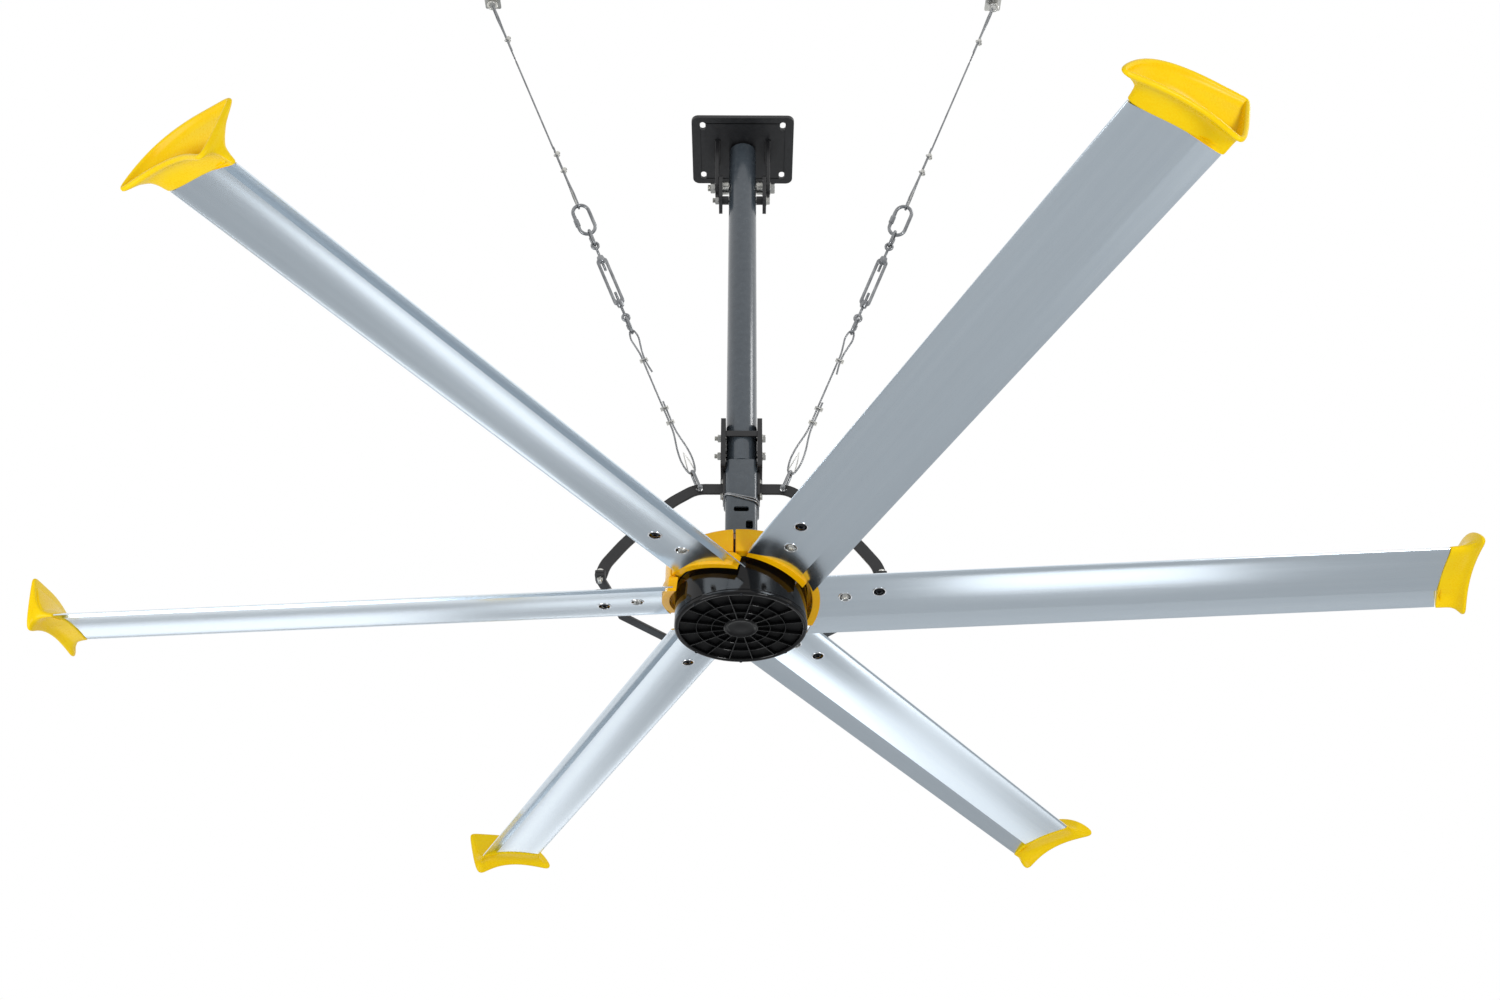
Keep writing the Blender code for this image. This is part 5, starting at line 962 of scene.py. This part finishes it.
def lower_skin(share):
    if share > FLAP_START_SHARE:
        return upper_skin(share) - FLAP_THICKNESS
    return camber_at(share) - thickness_at(share)


def across(share):
    return (share - 0.5) * BLADE_CHORD


def share_of(y):
    return 0.5 + y / BLADE_CHORD


def section_loop():
    """The extrusion's outer skin, closely spaced round the nose."""
    upper = [0.5 * (1 + math.cos(math.pi * i / 40)) for i in range(40)]
    lower = [share for share in reversed(upper[1:]) if share < FLAP_START_SHARE - 0.005]
    loop = [(across(share), upper_skin(share)) for share in upper]
    loop += [(across(share), lower_skin(share)) for share in lower + list(FLAP_SHARES)]
    return loop + [(across(1.0), upper_skin(1.0) - FLAP_THICKNESS + 0.0002)]


def cell_loop(start, end, steps=14):
    shares = [start + (end - start) * i / steps for i in range(steps + 1)]
    return ([(across(share), upper_skin(share) - BLADE_WALL) for share in shares]
            + [(across(share), lower_skin(share) + BLADE_WALL) for share in reversed(shares)])


def lean_of(skin, share):
    """The tilt of a skin, as a turn about the blade's length."""
    rise = skin(share + SLOPE_SHARE) - skin(share - SLOPE_SHARE)
    return Matrix.Rotation(math.atan(rise / (2 * SLOPE_SHARE * BLADE_CHORD)), 4, "X")


def lug_top():
    """Upper face of the holder's lug, just under the upper skin."""
    edges = [upper_skin(share_of(-BLADE_OFFSET + side * LUG_WIDTH / 2)) for side in (-1, 1)]
    return min(edges) - BLADE_WALL - GAP


def along_blade(angle):
    """The frame of a blade: X out along it, Y to its trailing edge, Z up through its skins."""
    return Matrix.Rotation(angle, 4, "Z") @ at(0, 0, BLADE_LEVEL) @ BLADE_IN_HOLDER


def lay_uv(item):
    """A map in metres: along the blade, and across it."""
    for layer in list(item.data.uv_layers):
        item.data.uv_layers.remove(layer)
    layer = item.data.uv_layers.new(name="along")
    for corner in item.data.loops:
        spot = item.data.vertices[corner.vertex_index].co
        layer.data[corner.index].uv = (spot.x, spot.y + 0.3 * spot.z)


def extruded_blade():
    item = plate([section_loop()] + [cell_loop(start, end) for start, end in CELL_SHARES],
                 BLADE_END - BLADE_START)
    moved(item, at((BLADE_START + BLADE_END) / 2, 0, 0) @ SECTION_TURN)
    boolean(item, moved(rod(ROOT_RADIUS, BLADE_CHORD, 192), BLADE_IN_HOLDER.inverted()))
    for x, y in BOLT_SPOTS:
        cutter = rod(ACCESS_RADIUS, 2 * ACCESS_RADIUS, 48)
        boolean(item, moved(cutter, at(x, y, camber_at(share_of(y)) - ACCESS_RADIUS)))
    lay_uv(item)
    return smooth(item, 28)


def hole_rims():
    """The chamfers of the access holes in the lower skin."""
    places = [at(x, y, lower_skin(share_of(y))) @ lean_of(lower_skin, share_of(y)) for x, y in BOLT_SPOTS]
    return join(copies(smooth(turned(HOLE_RIM, 48, True), 40), places))


def button_head(x, y):
    """A button head with its socket and washer, up in an access hole."""
    head = boolean(turned(BUTTON_HEAD, 40), moved(rod(SOCKET_RADIUS, SOCKET_DEPTH, 6), at(0, 0, -0.0060)))
    ring = moved(washer(BUTTON_WASHER_RADIUS, 0.0012), at(0, 0, -0.0003))
    return moved(join([smooth(head, 30), ring]), at(x, y, lug_top() - LUG_THICKNESS))


def blade_nuts():
    """Nuts with washers on the upper skin, and the ends of their bolts."""
    parts = []
    for x, y in BOLT_SPOTS:
        top, lean = upper_skin(share_of(y)), lean_of(upper_skin, share_of(y))
        parts += [moved(washer(0.0095, 0.0014), at(x, y, top + 0.0006) @ lean),
                  moved(hexagon_solid(0.0082, 0.0062), at(x, y, top + 0.0044) @ lean),
                  moved(threaded(0.005, 0.0042), at(x, y, top + 0.0100) @ lean)]
    return join(parts)


# Blade holders

def sector(inner, outer, half_angle):
    half = half_angle / math.pi
    return arc(outer, -half, half, 24) + arc(inner, half, -half, 24)


def root_block(inner):
    """The block between the ring's wall and the blade, its ends curved round the motor."""
    y = ROOT_BLOCK_SHIFT - BLADE_OFFSET
    item = block(ROOT_BLOCK_LENGTH, ROOT_BLOCK_WIDTH, ROOT_BLOCK_HEIGHT)
    moved(item, BLADE_IN_HOLDER @ at(inner + 0.007, y, camber_at(share_of(y))))
    boolean(item, rod(ROOT_RADIUS - GAP, BLADE_CHORD, 192), "INTERSECT")
    boolean(item, rod(inner, BLADE_CHORD, 192))
    return soften(item, 0.0016, 3)


def root_holder():
    half = math.pi / 6 - HOLDER_SPLIT / DRUM_RADIUS
    inner = DRUM_RADIUS + 2 * GAP
    seat = inner + HOLDER_SEAT
    top = HOLDER_TOP - BLADE_LEVEL
    wall = soften(plate([sector(inner, inner + HOLDER_WALL, half)], HOLDER_HEIGHT), 0.0022, 4)
    flange = plate([sector(DRUM_RADIUS - HOLDER_FLANGE_REACH, inner + 0.006, half)], HOLDER_FLANGE_THICKNESS)
    parts = [moved(wall, at(0, 0, top - HOLDER_HEIGHT / 2)),
             moved(soften(flange, 0.0012, 3), at(0, 0, top - HOLDER_FLANGE_THICKNESS / 2)),
             root_block(seat)]
    end = ROOT_RADIUS + LUG_LENGTH
    middle = (seat + end) / 2
    holes = [circle(LUG_HOLE_RADIUS, 24, (x - middle, y + BLADE_OFFSET)) for x, y in BOLT_SPOTS]
    lug = plate([rounded_rectangle(end - seat, LUG_WIDTH, LUG_CORNER)] + holes, LUG_THICKNESS)
    place = BLADE_IN_HOLDER @ at(middle, -BLADE_OFFSET, lug_top() - LUG_THICKNESS / 2)
    return join(parts + [moved(soften(lug, 0.0008, 2), place)])


def holder_bolts():
    """The bolts that hold a segment's flange down on the motor."""
    head = seated_head((0.0066, 0.0040, 0.0032), (0.0085, 0.0012, 0.0007))
    spot = at(DRUM_RADIUS - HOLDER_FLANGE_REACH / 2, 0, HOLDER_TOP - BLADE_LEVEL)
    return join(copies(head, [Matrix.Rotation(math.radians(turn), 4, "Z") @ spot for turn in (-15, 15)]))


# Tip caps

CAP_TOP_SHARES = ((0.0, 0.10), (0.03, 0.245), (0.098, 0.45), (0.20, 0.64), (0.31, 0.765), (0.424, 0.85),
                  (0.54, 0.91), (0.654, 0.945), (0.80, 0.97), (0.93, 1.0), (0.985, 0.985))
CAP_BOTTOM_SHARES = ((1.0, 0.90), (0.995, 0.52), (0.98, 0.17), (0.95, 0.03), (0.90, 0.0), (0.82, 0.065),
                     (0.71, 0.14), (0.575, 0.18), (0.43, 0.18), (0.283, 0.14), (0.137, 0.075), (0.04, 0.02))
CAP_HEIGHT, CAP_LIFT, CAP_NOSE_REACH, CAP_TAIL_REACH = 0.106, 0.023, 0.042, 0.011
CAP_COLLAR, CAP_FLOOR, CAP_BEAD, CAP_LINING = 0.003, 0.005, 0.0094, 0.0022
# Levels along the cap: its outside from collar to rim (reach, share of the way), the bead of its
# rim (reach, inset), and its inside from collar to rim (reach, share of the way)
FLARE_LEVELS = ((0.003, 0.0), (0.018, 0.05), (0.027, 0.14), (0.034, 0.32), (0.0385, 0.58), (0.0415, 0.84))
BEAD_LEVELS = ((0.0434, 0.0006), (0.0456, 0.0), (0.0486, 0.0012), (0.0500, 0.0044), (0.0488, 0.0080),
               (0.0456, 0.0094))
DISH_LEVELS = ((0.0415, 0.92), (0.037, 0.70), (0.032, 0.44), (0.026, 0.21), (0.018, 0.08))


def cap_outline():
    length = BLADE_CHORD + CAP_NOSE_REACH + CAP_TAIL_REACH
    start = -BLADE_CHORD / 2 - CAP_NOSE_REACH
    bottom = CAP_LIFT - CAP_HEIGHT / 2
    return [(start + length * across_share, bottom + CAP_HEIGHT * up_share)
            for across_share, up_share in CAP_TOP_SHARES + CAP_BOTTOM_SHARES]


def cap_collar(margin, nearness):
    """The blade's section with a margin outside it, one point for each point of the rim."""
    points = []
    half = BLADE_CHORD / 2 + margin
    for i, (across_share, _) in enumerate(CAP_TOP_SHARES + CAP_BOTTOM_SHARES):
        side = 1 if i < len(CAP_TOP_SHARES) else -1
        skin = upper_skin if side > 0 else lower_skin
        y = half * (2 * across_share - 1)
        share = min(max(share_of(y), 0), 1)
        round_end = min(half - abs(y), margin)
        middle = camber_at(share)
        reach = skin(share) - middle + side * round_end
        points.append((y * (1 + nearness) / 2, middle + reach * nearness))
    return points


def mixed(near, far, share):
    return [(a[0] + (b[0] - a[0]) * share, a[1] + (b[1] - a[1]) * share) for a, b in zip(near, far)]


def inset_loop(loop, distance):
    points = []
    for i, point in enumerate(loop):
        along = (Vector(loop[(i + 1) % len(loop)]) - Vector(loop[i - 1])).normalized()
        points.append(tuple(Vector(point) + Vector((along.y, -along.x)) * distance))
    return points


def tip_cap():
    """A dished cap: a collar over the blade's end flares to a rounded rim, and the face falls back
    inside it."""
    rim = cap_outline()
    collar = cap_collar(CAP_COLLAR, 1)
    floor = cap_collar(0, 0.55)
    inner_rim, inner_collar = inset_loop(rim, CAP_BEAD), inset_loop(collar, CAP_LINING)
    levels = [(0, inset_loop(collar, 0.0006))]
    levels += [(reach, mixed(collar, rim, share)) for reach, share in FLARE_LEVELS]
    levels += [(reach, inset_loop(rim, inset)) for reach, inset in BEAD_LEVELS]
    levels += [(reach, mixed(inner_collar, inner_rim, share)) for reach, share in DISH_LEVELS]
    levels += [(2 * CAP_FLOOR, mixed(inner_collar, floor, 0.6)), (CAP_FLOOR, floor)]
    item = outline(levels[0][1])
    for corner in item.data.vertices:
        corner.co = (CAP_ROOT, corner.co.x, corner.co.y)
    bpy.ops.object.mode_set(mode="EDIT")
    bpy.ops.mesh.select_mode(type="VERT")
    bpy.ops.mesh.select_all(action="SELECT")
    bpy.ops.mesh.edge_face_add()
    for reach, loop in levels[1:]:
        bpy.ops.mesh.extrude_region_move(TRANSFORM_OT_translate={"value": (0.001, 0, 0)})
        bpy.ops.object.mode_set(mode="OBJECT")
        chosen = [corner for corner in item.data.vertices if corner.select]
        for corner, (y, z) in zip(chosen[-len(rim):], loop):
            corner.co = (CAP_ROOT + reach, y, z)
        bpy.ops.object.mode_set(mode="EDIT")
    return smooth(apply_modifier(face_outwards(item), "SUBSURF", levels=2, render_levels=2), 60)


def fit_rotor():
    """One of each piece per blade. Pitched pieces lie in the blade's frame, the others in its holder's."""
    lift = at(0, 0, BLADE_LEVEL)
    kinds = (("extruded_blade_", extruded_blade(), ANODISED, True, "blade_"),
             # The hole rims wear the bare metal, made paler as a painted highlight
             ("hole_rims_", hole_rims(), BARE_METAL_AND_HIGHLIGHT, True, None),
             ("blade_bolts_", button_head(*BOLT_SPOTS[0]), ZINC, True, None),
             ("outer_bolts_", button_head(*BOLT_SPOTS[1]), BLACK_OXIDE, True, None),
             ("blade_nuts_", blade_nuts(), ZINC, True, None),
             ("root_holder_", root_holder(), AMBER_ENAMEL, False, "blade_holder_"),
             ("holder_bolts_", holder_bolts(), ZINC, False, None),
             ("end_cap_", tip_cap(), YELLOW_PLASTIC, True, "tip_cap_"))
    for start, pattern, finish, pitched, node in kinds:
        settle(pattern)
        for index, letter in enumerate(LETTERS):
            angle = REST_TURN + index * math.pi / 3
            place = along_blade(angle) if pitched else Matrix.Rotation(angle, 4, "Z") @ lift
            put(copy_of(pattern), start + letter, "rotor", finish, [node + letter] if node else (), place)
        bpy.data.objects.remove(pattern)


fit_rotor()


# Guy frame and safety cable

# Bends of an arm as (reach, drop below the eye hole)
ARM_BENDS = ((0.092, 0), (0.142, 0.034), (0.232, 0.136), (0.266, 0.184))
ARM_BEND_RADIUS = 0.018
PAD_BOLT_RISE = 0.018
STEP_LENGTH, STEP_WIDTH = 0.040, 0.020
CABLE_REACH, CABLE_CORNER, CABLE_RADIUS, CABLE_STEP = 0.002, 0.0126, 0.0019, 0.004
CABLE_DROP = PAD_HEIGHT / 2 + 0.0016 + 0.008 + 0.0004
# The two strands as (drop, slope across the mast)
CABLE_STRANDS = ((0, 0.016), (0.0042, 0.022))


def guy_frame_arms():
    level = FRAME_LEVEL
    face = MAST_SIDE / 2 + GAP
    foot = HOOP_TOP + GAP
    bends = [(face + PAD_THICKNESS / 2, level)] + [(reach, level - drop) for reach, drop in ARM_BENDS]
    path = rounded_path(bends + [(HOOP_RADIUS, foot + ARM_THICKNESS / 2)], ARM_BEND_RADIUS)
    bolt_hole = circle(FOOT_BOLT_RADIUS + BOLT_CLEARANCE, 20, (0, -FOOT_BOLT_SHIFT))
    for name, side in SIDES:
        upright = Matrix(((side, 0, 0, 0), (0, 0, -side, 0), (0, 1, 0, 0), (0, 0, 0, 1)))
        bar = plate([strip(path, ARM_WIDTH), circle(EYE_HOLE_RADIUS, 24, (EYE_HOLE_REACH, level))],
                    ARM_THICKNESS)
        pad = soften(plate([rounded_rectangle(PAD_WIDTH, PAD_HEIGHT, 0.005)], PAD_THICKNESS), 0.0010)
        step = plate([rounded_rectangle(STEP_WIDTH, STEP_LENGTH, 0.003), bolt_hole], ARM_THICKNESS)
        parts = [soften(moved(bar, upright), 0.0012),
                 moved(pad, at(side * (face + PAD_THICKNESS / 2), 0, level) @ SECTION_TURN),
                 moved(soften(step, 0.001), at(side * HOOP_RADIUS, 0, foot + ARM_THICKNESS / 2))]
        put(join(parts), "guy_arm_" + name, "suspension", BLACK_COAT, ["frame_arm_" + name])
        head = seated_head((0.0066, 0.0040, 0.0032), (0.0080, 0.0012, 0.0006), sides=32)
        turn = Matrix.Rotation(side * math.pi / 2, 4, "Y")
        places = [at(side * (face + PAD_THICKNESS), 0, level + end * PAD_BOLT_RISE) @ turn for end in (-1, 1)]
        put(join(copies(head, places)), "pad_bolts_" + name, "suspension", ZINC)
        put(bolt(FOOT_BOLT_RADIUS, FOOT_BOLT_GRIP), "foot_bolt_" + name, "suspension", ZINC,
            ["frame_bolt_" + name], at(side * HOOP_RADIUS, -FOOT_BOLT_SHIFT, foot + ARM_THICKNESS + GAP))


def hoop():
    path = [(HOOP_RADIUS, -HOOP_TAIL)] + arc(HOOP_RADIUS, 0, 1, 6) + [(-HOOP_RADIUS, -HOOP_TAIL)]
    holes = [circle(FOOT_BOLT_RADIUS + BOLT_CLEARANCE, 20, (side * HOOP_RADIUS, -FOOT_BOLT_SHIFT))
             for side in (-1, 1)]
    bent = soften(plate([strip(path, HOOP_WIDTH)] + holes, HOOP_THICKNESS), 0.0012)
    put(bent, "rear_hoop", "suspension", BLACK_COAT, ["frame_hoop"],
        at(0, 0, HOOP_TOP - HOOP_THICKNESS / 2))


def mast_cable():
    reach = MAST_SIDE / 2 + CABLE_REACH
    level = FRAME_LEVEL - CABLE_DROP
    ring = rounded_rectangle(2 * reach, 2 * reach, CABLE_CORNER, 6)
    dense = []
    for start, end in zip(ring, ring[1:] + ring[:1]):
        count = max(1, round(math.dist(start, end) / CABLE_STEP))
        dense += [mixed([start], [end], i / count)[0] for i in range(count)]
    strands = [tube([(x, y, level - drop - lean * x / reach / 2) for x, y in dense], CABLE_RADIUS, True)
               for drop, lean in CABLE_STRANDS]
    put(join(strands), "mast_cable", "suspension", GALVANISED, ["safety_cable"])


guy_frame_arms()
hoop()
mast_cable()


# The parts inside the motor keep their solids and get their real metals

def finish_inner_parts():
    finishes = {"motor_shaft": GROUND_STEEL, "bearing_upper": GROUND_STEEL, "bearing_lower": GROUND_STEEL,
                "magnet_ring": NICKEL, "stator_core": LAMINATION, "stator_winding": COPPER}
    for name, finish in finishes.items():
        for slot in bpy.data.objects[name].material_slots:
            slot.material = finish


finish_inner_parts()


# Floor, sky and lamps

FLOOR_LEVEL, FLOOR_SIZE, SKY_STRENGTH = -4.2, 60, 0.62
# Lamps as (name, place, the point that they face, size, watts). The soft boxes lie just above the
# floor and face up, so that the blades mirror them and the floor stays evenly lit.
LAMPS = (("key_lamp", (-2.4, -1.6, -3.1), (-0.4, 0, -1.2), 1.6, 40),
         ("front_lamp", (2.2, -3.0, -3.1), (0, 0, -1.1), 1.0, 50),
         ("side_lamp", (2.5, -0.4, 1.1), (0, 0, -0.6), 0.8, 16),
         ("soft_box_left", (-3.6, 7.0, -4.1), (-3.6, 6.9, 0), 3.4, 46),
         ("soft_box_back", (0.2, 10.4, -4.1), (0.2, 10.3, 0), 4.2, 60),
         ("soft_box_right", (2.1, 4.6, -4.1), (2.1, 4.5, 0), 2.0, 9),
         ("soft_box_near", (1.5, 3.1, -4.1), (1.5, 3.0, 0), 1.2, 6))


def make_floor():
    nothing_selected()
    bpy.ops.mesh.primitive_plane_add(size=FLOOR_SIZE, location=(0, 0, FLOOR_LEVEL))
    floor = settle(bpy.context.object)
    floor.name = "floor"
    floor.data.materials.append(surface("painted_floor", "#DADBDC", "#D5D6D7", 0.02, (0.65, 0.75), 0.0002))


def make_world():
    """A soft even sky that the camera, gloss and glass see as plain white."""
    world = bpy.data.worlds.new("studio")
    bpy.context.scene.world = world
    world.use_nodes = True
    tree = world.node_tree
    tree.nodes.clear()
    path = add(tree, "ShaderNodeLightPath")
    seen = add(tree, "ShaderNodeMath", {"operation": "MAXIMUM"},
               {0: (path, "Is Camera Ray"), 1: (path, "Is Glossy Ray")})
    shown = add(tree, "ShaderNodeMath", {"operation": "MAXIMUM"},
                {0: (seen, "Value"), 1: (path, "Is Transmission Ray")})
    white = add(tree, "ShaderNodeBackground", {"Color": linear("#FFFFFF"), "Strength": 1.0})
    soft = add(tree, "ShaderNodeBackground", {"Color": linear("#F4F6F8"), "Strength": SKY_STRENGTH})
    sky = add(tree, "ShaderNodeMixShader", {}, {0: (shown, "Value"), 1: (soft, 0), 2: (white, 0)})
    add(tree, "ShaderNodeOutputWorld", {}, {"Surface": (sky, 0)})


def make_lamp(name, spot, target, size, power):
    data = bpy.data.lights.new(name, "AREA")
    data.shape = "SQUARE"
    data.size = size
    data.energy = power
    lamp = bpy.data.objects.new(name, data)
    lamp.location = spot
    lamp.visible_camera = False
    lamp.rotation_euler = (Vector(target) - Vector(spot)).to_track_quat("-Z", "Y").to_euler()
    bpy.context.collection.objects.link(lamp)


make_floor()
make_world()
for settings in LAMPS:
    make_lamp(*settings)

bpy.context.scene.view_settings.view_transform = "Standard"
